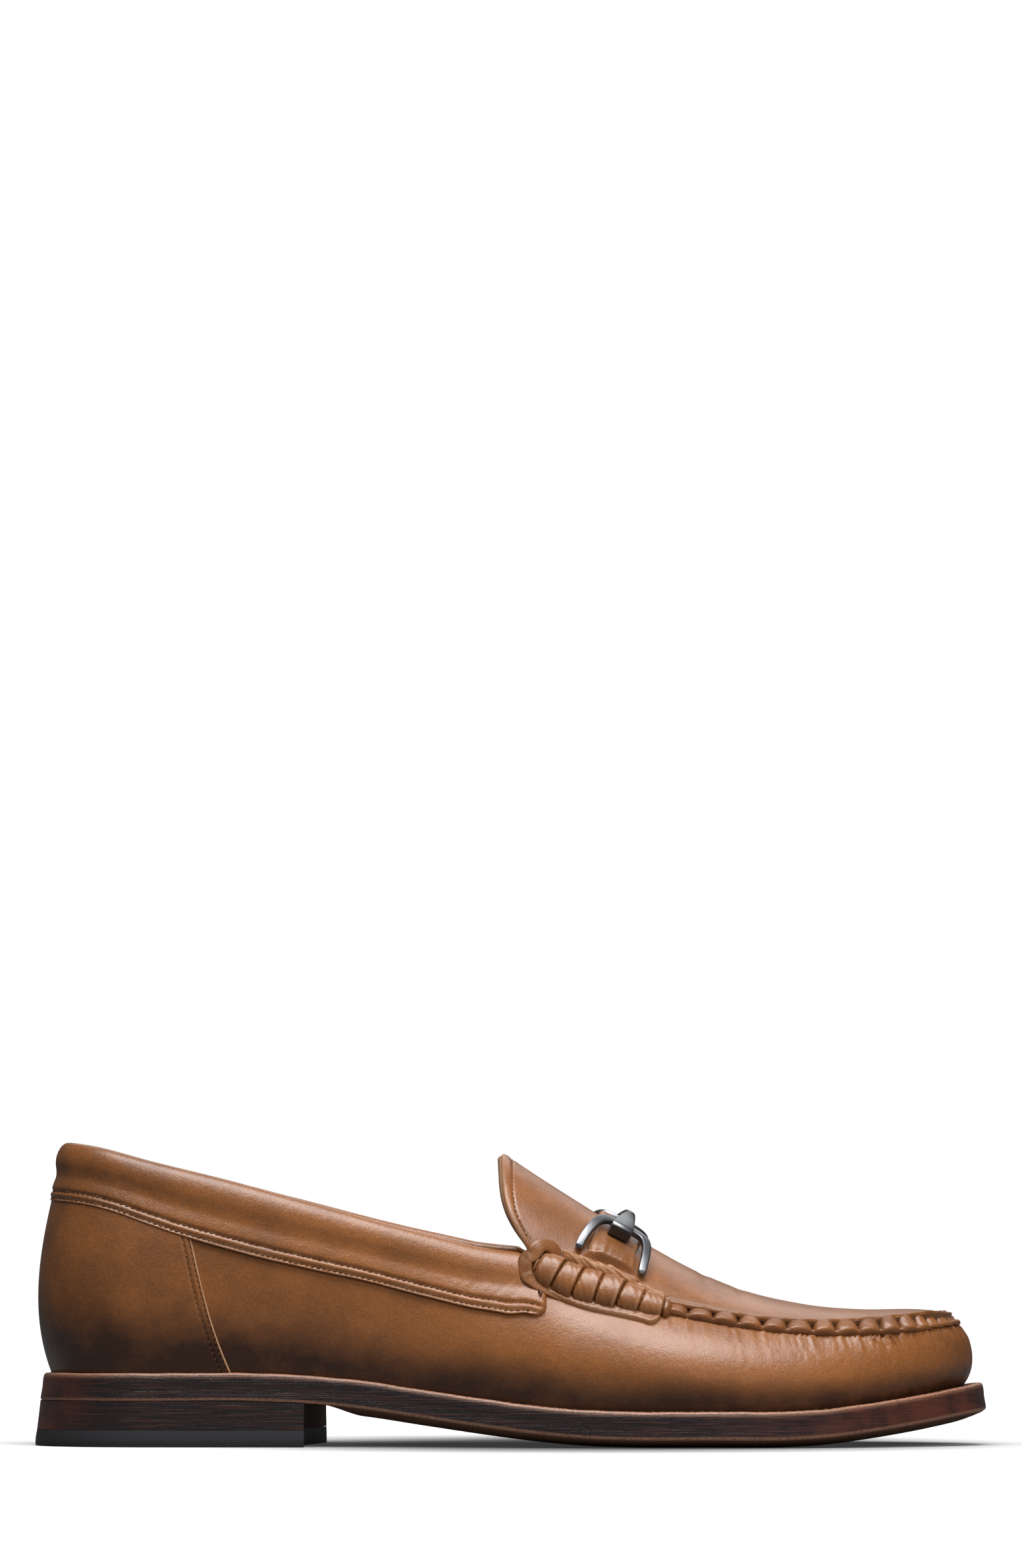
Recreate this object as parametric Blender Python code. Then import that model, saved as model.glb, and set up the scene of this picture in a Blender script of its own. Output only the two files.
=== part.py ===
"""Bit loafer, right shoe: a moccasin-toe slip-on on a welted leather sole.

Run with blender --background --python part.py, or from Blender's text editor.
Metres. +X runs from heel to toe, +Y is the inner (medial) side, +Z is up.
The origin is the middle of the heel's rest face. Shapes are worked out with x
counted from the back of the sole, and each object is placed back by that much.

The upper, sole and overlays all come from one description of the last:
  outline(u)   the sole's edge in plan; u runs 0..1 round the shoe from the back
               of the heel, along the outer side to the toe and back inside
  skin(u, v)   the upper's outside; v is 0 at the welt, 1 at the lower edge of
               the collar band, 2 at the collar or the moccasin seam
  apron(a, t)  the plug and tongue on top; a is a share of the sole's length and
               t runs from -1 at the outer seam to 1 at the inner seam
"""

import bmesh
import bpy
import numpy as np
from mathutils import Vector

# Driving dimensions
SOLE_LENGTH = 0.2964
BALL_WIDTH = 0.104
WAIST_WIDTH = 0.064
HEEL_WIDTH = 0.066
HEEL_HEIGHT = 0.0142
HEEL_LENGTH = 0.0835
TOE_SPRING = 0.0086
WELT = 0.0030
OUTSOLE_EDGE = 0.0053
SOLE_ROUNDING = 0.0026
TREAD_MARGIN = 0.014
EDGE_FLARE = 0.0014
EDGE_BEVEL = 0.0012
WELT_WIDTH = 0.013
TOP_LIFT = 0.0052
HEEL_FLARE = 0.0016
BREAST_CURVE = 0.0030
BREAST_SKEW = 0.0050
INSOLE = 0.0030

WALL = 0.0020
BACK_HEIGHT = 0.0695
CORNER_HEIGHT = 0.0450
TONGUE_HEIGHT = 0.0775
TOE_HEIGHT = 0.0235
INNER_RISE = 0.0025
TONGUE_REACH = 0.0086
BAND_WIDTH = 0.0195
BAND_THICKNESS = 0.0013
COLLAR_PADDING = 0.0012
COLLAR_RIM = 0.0014
COUNTER_STEP = 0.0006
SEAM_RIDGE = 0.0022
SEAM_WIDTH = 0.0034

STRAP_THICKNESS = 0.0016
STRAP_WIDTH = 0.0134
ROLL_HEIGHT = 0.0046
ROLL_UP = 0.0036
ROLL_DOWN = 0.0098
ROLL_TAPER = 0.68
ROLL_WRAPS = 6
ROLL_CREASE = 0.22
BIT_SPAN = 0.0338
BIT_WIDTH = 0.0077
BIT_WAIST = 0.0018
BIT_HEIGHT = 0.0049
BIT_MIDDLE = 0.0039
BIT_LEAN = 0.36
EYE_SPAN = 0.0232
EYE_WIDTH = 0.0036
EYE_HEIGHT = 0.0028
EYE_FLOOR = 0.0008
RING_BAR = 0.0023
RING_THICKNESS = 0.0020
RING_SPAN = 0.0200
RING_REACH = 0.0140
RING_LIFT = 0.0032

GAP = 0.0003
OVERLAY_GAP = 0.0004

# Places along the sole, as shares of its length
THROAT = 0.5175
APRON_END = 0.965
BAND_END = 0.523
ROLL_START = THROAT + 0.002
ROLL_END = 0.661
COUNTER_TOP = 0.165
COUNTER_FOOT = 0.205
BIT_PLACE = 0.6127

# How finely the forms are faceted
RIBS = 80
WALL_ROWS = 7
APRON_CELLS = 12
TONGUE_LINES = 3

HEEL_CENTRE = HEEL_LENGTH / 2


def table(columns, *rows):
    """A table of sections with named columns, the first being the share of the sole's length."""
    return dict(zip(columns.split(), np.array(rows, float).T))


# The sole's edge in plan: a named width, and how it is shared out about a centre line.
PLAN = table(
    "at width outer inner centre",
    (0.00, HEEL_WIDTH, 0.470, 0.470, 0.000),
    (0.10, HEEL_WIDTH, 0.500, 0.500, 0.000),
    (0.20, HEEL_WIDTH, 0.508, 0.495, 0.000),
    (0.30, WAIST_WIDTH, 0.523, 0.470, 0.000),
    (0.40, WAIST_WIDTH, 0.560, 0.455, 0.000),
    (0.50, WAIST_WIDTH, 0.648, 0.523, -0.005),
    (0.60, BALL_WIDTH, 0.471, 0.414, -0.005),
    (0.68, BALL_WIDTH, 0.500, 0.487, 0.000),
    (0.74, BALL_WIDTH, 0.495, 0.500, 0.008),
    (0.82, BALL_WIDTH, 0.457, 0.481, 0.022),
    (0.90, BALL_WIDTH, 0.395, 0.415, 0.043),
    (1.00, BALL_WIDTH, 0.300, 0.320, 0.062),
)
HEEL_ROUND = 0.118
TOE_ROUND = 0.210
HEEL_ROUNDNESS = 2.2
TOE_ROUNDNESS = 2.5

# Height of the lower corner of the sole's edge, as shares of the heel and of the toe spring.
SIDE_LINE = table(
    "at heel toe",
    (0.00, 1.00, 0.00),
    (0.12, 1.00, 0.00),
    (0.23, 1.00, 0.00),
    (0.30, 0.91, 0.00),
    (0.345, 0.79, 0.00),
    (0.405, 0.56, 0.00),
    (0.475, 0.30, 0.00),
    (0.52, 0.155, 0.00),
    (0.575, 0.035, 0.00),
    (0.62, 0.00, 0.00),
    (0.70, 0.00, 0.00),
    (0.78, 0.00, 0.00),
    (0.82, 0.00, 0.07),
    (0.87, 0.00, 0.27),
    (0.92, 0.00, 0.53),
    (0.97, 0.00, 0.83),
    (1.00, 0.00, 1.00),
)

# Where the upper meets the welt, in from the sole's edge.
MARGIN = table(
    "at inset",
    (0.00, 0.0042),
    (0.15, 0.0036),
    (0.40, 0.0034),
    (0.65, 0.0050),
    (0.85, 0.0055),
    (1.00, 0.0062),
)

# The collar's edge in plan, as shares of the heel's width.
COLLAR_PLAN = table(
    "at outer inner",
    (0.020, 0.300, 0.300),
    (0.08, 0.330, 0.330),
    (0.15, 0.385, 0.380),
    (0.25, 0.425, 0.415),
    (0.35, 0.440, 0.425),
    (0.45, 0.440, 0.425),
    (THROAT, 0.425, 0.415),
)
COLLAR_BACK = 0.028
COLLAR_ROUND = 0.085

# The collar band's width; ahead of the band its rows close up under the seam.
BAND = table(
    "at share",
    (0.00, 0.84),
    (0.06, 0.88),
    (0.15, 0.96),
    (0.25, 0.99),
    (0.40, 0.97),
    (BAND_END, 0.95),
    (0.60, 0.76),
    (0.72, 0.42),
    (1.00, 0.36),
)

# The moccasin seam in plan, as shares of the ball's width.
SEAM_PLAN = table(
    "at outer inner",
    (THROAT - 0.05, 0.268, 0.262),
    (THROAT, 0.270, 0.264),
    (0.575, 0.280, 0.278),
    (0.65, 0.296, 0.298),
    (0.73, 0.306, 0.312),
    (0.80, 0.298, 0.310),
    (0.87, 0.268, 0.282),
    (0.92, 0.245, 0.258),
    (APRON_END, 0.225, 0.238),
)
APRON_ROUND = 0.105

# Heights above the welt, as shares: of back to corner, corner to toe, tongue to toe.
COLLAR_LINE = table(
    "at share",
    (0.02, 1.095),
    (0.06, 1.020),
    (0.123, 0.815),
    (0.193, 0.596),
    (0.261, 0.396),
    (0.345, 0.205),
    (0.43, 0.095),
    (0.49, 0.022),
    (THROAT, 0.00),
)
SEAM_LINE = table(
    "at share",
    (THROAT - 0.05, 1.10),
    (THROAT, 1.00),
    (0.561, 0.764),
    (0.598, 0.640),
    (0.652, 0.440),
    (0.693, 0.320),
    (0.730, 0.235),
    (0.801, 0.130),
    (0.868, 0.060),
    (0.926, 0.015),
    (APRON_END, 0.00),
)
SPINE_LINE = table(
    "at share arch ridge power",
    (0.470, 1.045, 0.55, 0.10, 1.65),
    (0.487, 1.000, 0.55, 0.10, 1.65),
    (0.5175, 0.909, 0.52, 0.10, 1.65),
    (0.575, 0.735, 0.50, 0.10, 1.65),
    (0.6355, 0.538, 0.44, 0.09, 1.70),
    (0.693, 0.365, 0.32, 0.06, 1.90),
    (0.730, 0.280, 0.22, 0.04, 2.00),
    (0.801, 0.175, 0.12, 0.02, 2.20),
    (0.868, 0.103, 0.10, 0.00, 2.20),
    (0.926, 0.055, 0.10, 0.00, 2.20),
    (APRON_END, 0.00, 0.10, 0.00, 2.20),
)

# The side wall's two handles, as shares of its own height: how far each stands out, and how high.
WALL_FORM = table(
    "at low_outer low_inner low_up high_outer high_inner high_up",
    (0.00, 0.125, 0.125, 0.33, 0.080, 0.080, 0.67),
    (0.10, 0.115, 0.115, 0.33, 0.090, 0.090, 0.67),
    (0.25, 0.105, 0.140, 0.34, 0.120, 0.110, 0.68),
    (0.40, 0.120, 0.200, 0.35, 0.130, 0.100, 0.70),
    (0.52, 0.170, 0.220, 0.38, 0.170, 0.140, 0.74),
    (0.60, 0.200, 0.210, 0.42, 0.240, 0.200, 0.80),
    (0.70, 0.210, 0.200, 0.44, 0.300, 0.280, 0.82),
    (0.85, 0.210, 0.200, 0.40, 0.280, 0.270, 0.80),
    (1.00, 0.200, 0.200, 0.32, 0.200, 0.200, 0.76),
)

# The saddle strap's two edges across the plug, as shares of its width; `out` runs from ridge to seam.
STRAP = table(
    "out back front",
    (0.00, 0.500, 0.500),
    (0.30, 0.560, 0.420),
    (0.62, 0.690, 0.280),
    (0.76, 0.780, 0.275),
    (0.84, 0.850, 0.275),
    (0.875, 0.980, 0.300),
    (0.905, 1.230, 0.380),
)

# One half ring of the bit from its eye: shares of its span forward, of its reach sideways, of its lift.
RING_PATH = table(
    "step forward out lift",
    (0.0, -0.695, 0.930, 0.22),
    (1.0, -0.665, 0.820, 0.40),
    (2.0, -0.610, 0.670, 0.60),
    (3.0, -0.530, 0.455, 0.80),
    (4.0, -0.445, 0.245, 0.94),
    (5.0, -0.330, 0.070, 1.00),
    (6.0, -0.200, 0.010, 1.00),
    (7.0, -0.060, 0.000, 1.00),
    (8.0, 0.080, 0.010, 1.00),
    (9.0, 0.190, 0.040, 1.00),
    (10.0, 0.270, 0.130, 0.95),
    (11.0, 0.310, 0.340, 0.82),
    (12.0, 0.310, 0.620, 0.62),
    (13.0, 0.290, 0.870, 0.38),
    (14.0, 0.280, 1.030, 0.22),
)


def smooth(rows, column, at):
    """A smooth curve through one column of a table: cubic pieces that share slopes at the rows."""
    x = next(iter(rows.values()))
    y = rows[column]
    at = np.clip(np.asarray(at, float), x[0], x[-1])
    slope = np.gradient(y, x)
    i = np.clip(np.searchsorted(x, at, side="right") - 1, 0, len(x) - 2)
    width = x[i + 1] - x[i]
    s = (at - x[i]) / width
    return (
        y[i] * (1 + 2 * s) * (1 - s) ** 2
        + y[i + 1] * s**2 * (3 - 2 * s)
        + slope[i] * width * s * (1 - s) ** 2
        - slope[i + 1] * width * s**2 * (1 - s)
    )


def rounded(distance, reach, power):
    """Closing of an outline at an end: 0 at the tip, 1 from `reach` inwards, round between."""
    inward = np.clip(distance / reach, 0, 1)
    return (1 - (1 - inward) ** power) ** (1 / power)


SOLE_SIDES = {
    "at": PLAN["at"],
    "outer": PLAN["width"] * PLAN["outer"],
    "inner": PLAN["width"] * PLAN["inner"],
}


def outline_half(at, inner):
    """Distance of the sole's edge from its centre line."""
    half = np.where(inner, smooth(SOLE_SIDES, "inner", at), smooth(SOLE_SIDES, "outer", at))
    ends = rounded(at, HEEL_ROUND, HEEL_ROUNDNESS) * rounded(1 - at, TOE_ROUND, TOE_ROUNDNESS)
    return half * ends


def centre(at):
    return BALL_WIDTH * smooth(PLAN, "centre", at)


def even_stations():
    """Half-turn angles that step evenly along the sole's edge from heel to toe."""
    angle = np.linspace(0, np.pi, 1201)
    at = (1 - np.cos(angle)) / 2
    y = (outline_half(at, True) + outline_half(at, False)) / 2
    length = np.cumsum(np.hypot(np.diff(at * SOLE_LENGTH), np.diff(y)))
    return np.append(0, length) / length[-1], angle


EVEN, ANGLE = even_stations()


def station(u):
    """Share of the sole's length at u, and whether u is on the inner side."""
    u = np.mod(u, 1.0)
    inner = u > 0.5
    along = 1 - np.abs(1 - 2 * u)
    return (1 - np.cos(np.interp(along, EVEN, ANGLE))) / 2, inner


def outline(u):
    at, inner = station(u)
    side = np.where(inner, 1.0, -1.0)
    return np.stack([at * SOLE_LENGTH, centre(at) + side * outline_half(at, inner)], -1)


def outward(u):
    """Plan direction out of the sole at u."""
    step = 2e-3
    along = outline(u + step) - outline(u - step)
    out = np.stack([along[..., 1], -along[..., 0]], -1)
    return out / np.linalg.norm(out, axis=-1, keepdims=True)


def side_line(at):
    """Height of the lower corner of the sole's edge."""
    return (
        SOLE_ROUNDING
        + (HEEL_HEIGHT - SOLE_ROUNDING) * smooth(SIDE_LINE, "heel", at)
        + TOE_SPRING * smooth(SIDE_LINE, "toe", at)
    )


def welt_top(at):
    return side_line(at) + OUTSOLE_EDGE + GAP + WELT


def feather(u):
    """Where the upper meets the welt, in plan."""
    at, _ = station(u)
    return outline(u) - outward(u) * smooth(MARGIN, "inset", at)[..., None]


THROAT_U = float(np.interp(THROAT, station(np.linspace(0, 0.5, 4001))[0], np.linspace(0, 0.5, 4001)))


def edge_line(u):
    """Top edge of the side wall in 3-D: the collar behind the throat, the moccasin seam ahead of it."""
    at, inner = station(u)
    side = np.where(inner, 1.0, -1.0)
    back, _ = station(0.0)
    front, _ = station(0.5)
    rear = (at - back) / (THROAT - back)
    fore = (at - THROAT) / (front - THROAT)
    collar_at = COLLAR_BACK + (THROAT - COLLAR_BACK) * np.clip(rear, 0, 1)
    seam_at = THROAT + (APRON_END - THROAT) * np.clip(fore, 0, 1)
    collar_half = HEEL_WIDTH * np.where(
        inner, smooth(COLLAR_PLAN, "inner", collar_at), smooth(COLLAR_PLAN, "outer", collar_at)
    )
    collar_half = collar_half * rounded(collar_at - COLLAR_BACK, COLLAR_ROUND, HEEL_ROUNDNESS)
    rise = CORNER_HEIGHT + (BACK_HEIGHT - CORNER_HEIGHT) * smooth(COLLAR_LINE, "share", collar_at)
    rise = rise + np.where(inner, INNER_RISE, 0) * np.clip(rear, 0, 1) ** 2
    rise = rise - COLLAR_RIM * np.clip((1 - rear) / 0.12, 0, 1)
    collar = np.stack(
        [collar_at * SOLE_LENGTH, side * collar_half, welt_top(collar_at) + rise], -1
    )
    return np.where((at < THROAT)[..., None], collar, seam_point(seam_at, inner))


def seam_half(at, inner):
    half = BALL_WIDTH * np.where(
        inner, smooth(SEAM_PLAN, "inner", at), smooth(SEAM_PLAN, "outer", at)
    )
    return half * rounded(APRON_END - at, APRON_ROUND, TOE_ROUNDNESS)


def seam_height(at, inner):
    """Height of the moccasin seam above the floor."""
    share = smooth(SEAM_LINE, "share", at)
    rise = TOE_HEIGHT + (CORNER_HEIGHT - TOE_HEIGHT) * share
    lift = INNER_RISE * np.clip(share, 0, 1) ** 2
    return welt_top(at) + rise + np.where(inner, lift, 0)


def seam_point(at, inner):
    side = np.where(inner, 1.0, -1.0)
    y = centre(at) + side * seam_half(at, inner)
    return np.stack([at * SOLE_LENGTH, y, seam_height(at, inner)], -1)


def wall_point(u, s):
    """Side wall at share s of its height: a cubic from the welt to the top edge."""
    at, inner = station(u)
    foot = np.concatenate([feather(u), (welt_top(at) + GAP)[..., None]], -1)
    top = edge_line(u)
    out = np.concatenate([outward(u), np.zeros(np.shape(at) + (1,))], -1)
    tall = (top[..., 2] - foot[..., 2])[..., None]
    up = np.array([0.0, 0.0, 1.0])

    def handle(start, name, rise):
        reach = np.where(
            inner, smooth(WALL_FORM, name + "_inner", at), smooth(WALL_FORM, name + "_outer", at)
        )
        flat = start * [1, 1, 0] + foot * up
        return flat + out * tall * reach[..., None] + up * tall * smooth(WALL_FORM, rise, at)[..., None]

    low = handle(foot, "low", "low_up")
    high = handle(top, "high", "high_up")
    s = np.asarray(s)[..., None]
    return (1 - s) ** 3 * foot + 3 * (1 - s) ** 2 * s * low + 3 * (1 - s) * s**2 * high + s**3 * top


def wall_length(u):
    """Girth of the side wall at u."""
    steps = np.linspace(0, 1, 25)
    points = np.stack([wall_point(u, np.full(np.shape(u), s)) for s in steps])
    return np.linalg.norm(np.diff(points, axis=0), axis=-1).sum(0)


def band_share(u):
    """Share of the wall's height at the collar band's lower edge, which runs on below the seam."""
    at, _ = station(u)
    return 1 - BAND_WIDTH * smooth(BAND, "share", at) / wall_length(u)


def skin(u, v):
    """The side wall's outside at u; v is 0 at the welt, 1 at the band's lower edge, 2 at the top."""
    band = band_share(u)
    s = np.where(v < 1, v * band, band + (v - 1) * (1 - band))
    return wall_point(u, s)


def apron(a, t):
    """The plug's outside: straight across in plan, arched up from the seams to its ridge."""
    ridge = smooth(SPINE_LINE, "ridge", a)
    reach = np.clip(np.where(t > ridge, (t - ridge) / (1 - ridge), (ridge - t) / (1 + ridge)), 0, 1)
    arch = smooth(SPINE_LINE, "arch", a)
    power = smooth(SPINE_LINE, "power", a)
    drop = arch * (1 - np.sqrt(1 - reach**2)) + (1 - arch) * reach**power
    spine = welt_top(a) + TOE_HEIGHT + (TONGUE_HEIGHT - TOE_HEIGHT) * smooth(SPINE_LINE, "share", a)
    z = spine + (seam_height(a, t > ridge) - spine) * drop
    return np.stack([a * SOLE_LENGTH, centre(a) + t * seam_half(a, t > 0), z], -1)


def tongue_station(k, t):
    """Length share on tongue line k: 0 is straight across the throat, 1 is the tongue's free edge."""
    return THROAT - k * TONGUE_REACH / SOLE_LENGTH * (1 - np.abs(t) ** 8)


def ripple(distance, width):
    """A round ridge: 1 on its line, 0 from `width` away."""
    near = np.clip(np.abs(distance) / width, 0, 1)
    return (1 + np.cos(np.pi * near)) / 2


def seam_ridge(at):
    """The raised seam fades out where the beef roll covers it, and dips at the toe."""
    return SEAM_RIDGE * np.clip((at - ROLL_END - 0.015) / 0.015, 0.12, 1) * np.clip(
        (APRON_END - at) / 0.05, 0.25, 1
    )


def counter_line(v):
    """Length share of the counter's front edge, which leans forward towards the welt."""
    return COUNTER_FOOT + (COUNTER_TOP - COUNTER_FOOT) * np.clip(v, 0, 1)


def wall_relief(u, v, below):
    """How far the wall's overlays stand out of the skin; `below` is the distance under its top edge."""
    at, _ = station(u)
    tucked = (at >= THROAT - 1e-6) & (below < ROLL_DOWN)
    band = (at <= BAND_END + 1e-6) & (v >= 1.0) & ~tucked
    padding = ripple(below - 0.0055, 0.0060) + 0.35 * ripple(below - 0.0150, 0.0050)
    relief = np.where(band, BAND_THICKNESS + COLLAR_PADDING * padding, 0)
    relief = relief + np.where((v < 1) & (at <= counter_line(v) + 1e-6), COUNTER_STEP, 0)
    ridge = np.where(at >= THROAT, seam_ridge(at) * ripple(below, SEAM_WIDTH), 0)
    return np.maximum(relief, ridge)


def vertex_normals(points, faces):
    """Area-weighted normals of a skin made of quads and triangles."""
    normals = np.zeros_like(points)
    for face in faces:
        corners = points[list(face)]
        normal = np.cross(corners[2] - corners[0], corners[-1] - corners[1])
        normals[list(face)] += normal
    return normals / np.linalg.norm(normals, axis=1, keepdims=True)


def add_object(name, points, faces, material):
    """One named object at the heel's centre, shaded smooth with its sharp edges kept."""
    mesh = bpy.data.meshes.new(name)
    mesh.from_pydata([tuple(p) for p in points], [], [tuple(f) for f in faces])
    mesh.validate()
    mesh.materials.append(material)
    mesh.shade_smooth()
    mesh.set_sharp_from_angle(angle=np.radians(35))
    obj = bpy.data.objects.new(name, mesh)
    obj.location = Vector((-HEEL_CENTRE, 0, 0))
    bpy.context.scene.collection.objects.link(obj)
    return obj


def finish(name, colour, roughness, metallic=0.0):
    material = bpy.data.materials.new(name)
    material.use_nodes = True
    shader = material.node_tree.nodes["Principled BSDF"]
    shader.inputs["Base Color"].default_value = (*colour, 1)
    shader.inputs["Roughness"].default_value = roughness
    shader.inputs["Metallic"].default_value = metallic
    material.diffuse_color = (*colour, 1)
    return material


def ring_faces(loops, start=0):
    """Quads between loops of the same length, outside seen with each loop below the next."""
    count = len(loops[0])
    faces = []
    for k in range(len(loops) - 1):
        for i in range(count):
            j = (i + 1) % count
            low, high = start + k * count, start + (k + 1) * count
            faces.append((low + i, low + j, high + j, high + i))
    return faces


def ladder(loop, facing_up):
    """Quads across a loop from its outer side to its inner side, so that a cap keeps the loop's rise."""
    count = len(loop)
    faces = []
    for i in range(count // 2):
        a, b, c, d = loop[i], loop[i + 1], loop[-(i + 1)], loop[-i if i else 0]
        face = [a, b, c, d] if a != d else [a, b, c]
        face = face if b != c else face[:2] + face[3:]
        faces.append(tuple(face) if facing_up else tuple(reversed(face)))
    return faces


def slab(name, loops, material):
    """A closed solid through loops listed from its bottom cap to its top cap."""
    count = len(loops[0])
    faces = ring_faces(loops)
    faces += ladder(list(range(count)), False)
    faces += ladder([(len(loops) - 1) * count + i for i in range(count)], True)
    return add_object(name, np.concatenate(loops), faces, material)


def rib_positions():
    """Even ribs, with one moved onto the throat's corner, the band's end and the counter's edge."""
    u = np.arange(RIBS) / RIBS
    dense = np.linspace(0, 0.5, 4001)
    at = station(dense)[0]
    for place in (THROAT, BAND_END):
        target = float(np.interp(place, at, dense))
        u[int(round(target * RIBS))] = target
        u[-int(round(target * RIBS))] = 1 - target
    return u


def loop_at(u, inset, height):
    """A loop round the shoe, `inset` from the sole's edge, at a height that follows the station."""
    at, _ = station(u)
    plan = outline(u) - outward(u) * np.broadcast_to(inset, np.shape(u))[..., None]
    x_share = np.clip(plan[:, 0] / SOLE_LENGTH, 0, 1)
    return np.concatenate([plan, height(x_share)[:, None]], -1)


def sole_bottom(at):
    """The outsole's underside along its middle: flat above the heel, rounded down ahead of it."""
    breast = HEEL_LENGTH / SOLE_LENGTH
    drop = np.clip((at - breast - 0.012) / 0.05, 0, 1)
    return side_line(at) - SOLE_ROUNDING * drop * drop * (3 - 2 * drop)


def make_outsole(u, material):
    def shelf(at):
        return side_line(at) + OUTSOLE_EDGE

    def bevel(at):
        return sole_bottom(at) + (side_line(at) - sole_bottom(at)) * 0.30

    loops = [
        loop_at(u, TREAD_MARGIN, sole_bottom),
        loop_at(u, TREAD_MARGIN * 0.45, bevel),
        loop_at(u, EDGE_BEVEL, lambda at: sole_bottom(at) + (side_line(at) - sole_bottom(at)) * 0.80),
        loop_at(u, 0.0, lambda at: side_line(at) + EDGE_BEVEL * 0.4),
        loop_at(u, EDGE_FLARE * 0.55, shelf),
    ]
    return slab("outsole", loops, material)


def make_welt(u, material):
    """A strip round the sole's edge, open in its middle."""

    def low(at):
        return side_line(at) + OUTSOLE_EDGE + GAP

    corner = 0.0006
    loops = [
        loop_at(u, WELT_WIDTH, low),
        loop_at(u, EDGE_FLARE * 0.60, low),
        loop_at(u, EDGE_FLARE * 0.95, lambda at: welt_top(at) - corner),
        loop_at(u, EDGE_FLARE + corner, welt_top),
        loop_at(u, WELT_WIDTH, welt_top),
    ]
    faces = ring_faces(loops)
    last = (len(loops) - 1) * len(u)
    for i in range(len(u)):
        j = (i + 1) % len(u)
        faces.append((last + i, last + j, j, i))
    return add_object("welt", np.concatenate(loops), faces, material)


def make_insole(u, material):
    """The insole, with the filling below it that takes up the welt's opening."""
    at, _ = station(u)
    margin = smooth(MARGIN, "inset", at) + WALL + 2 * GAP
    boss = WELT_WIDTH + GAP

    def floor(at_share):
        return side_line(at_share) + OUTSOLE_EDGE + GAP

    def seat(at_share):
        return welt_top(at_share) + GAP

    def top(at_share):
        return welt_top(at_share) + GAP + INSOLE

    loops = [
        loop_at(u, boss, floor),
        loop_at(u, boss, seat),
        loop_at(u, margin, seat),
        loop_at(u, margin, top),
    ]
    return slab("insole", loops, material)


def heel_loop(grow, height):
    """Round the back of the heel, then across its hollow breast."""
    breast = HEEL_LENGTH / SOLE_LENGTH
    dense = np.linspace(0, 0.5, 4001)
    corner = float(np.interp(breast, station(dense)[0], dense))
    steps = 13
    turn = np.linspace(-corner, corner, 2 * steps + 1)
    back = outline(turn) + outward(turn) * grow
    skew = BREAST_SKEW * np.clip(-turn / corner, 0, 1) ** 6
    back[:, 0] += skew
    across = np.linspace(0, 1, 9)[1:-1, None]
    front = back[-1] * (1 - across) + back[0] * across
    front[:, 0] -= BREAST_CURVE * np.sin(np.pi * across[:, 0])
    plan = np.concatenate([back, front])
    return np.concatenate([plan, height(plan[:, 0] / SOLE_LENGTH)[:, None]], -1)


def prism(name, loops, material):
    """A solid through loops whose caps are filled by Blender's own triangulation."""
    count = len(loops[0])
    faces = ring_faces(loops)
    faces.append(tuple(reversed(range(count))))
    faces.append(tuple((len(loops) - 1) * count + i for i in range(count)))
    return add_object(name, np.concatenate(loops), faces, material)


def make_heel(stack_material, lift_material):
    def level(height):
        return lambda at: np.full(np.shape(at), height)

    def under_sole(at):
        return side_line(np.clip(at, 0, 1)) - GAP

    split = HEEL_FLARE * (1 - TOP_LIFT / HEEL_HEIGHT)
    worn = 0.0005
    prism(
        "top_lift",
        [
            heel_loop(HEEL_FLARE - worn, level(0.0)),
            heel_loop(HEEL_FLARE, level(worn)),
            heel_loop(split, level(TOP_LIFT)),
        ],
        lift_material,
    )
    prism(
        "heel_stack",
        [heel_loop(split, level(TOP_LIFT + GAP)), heel_loop(0.0, under_sole)],
        stack_material,
    )


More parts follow.
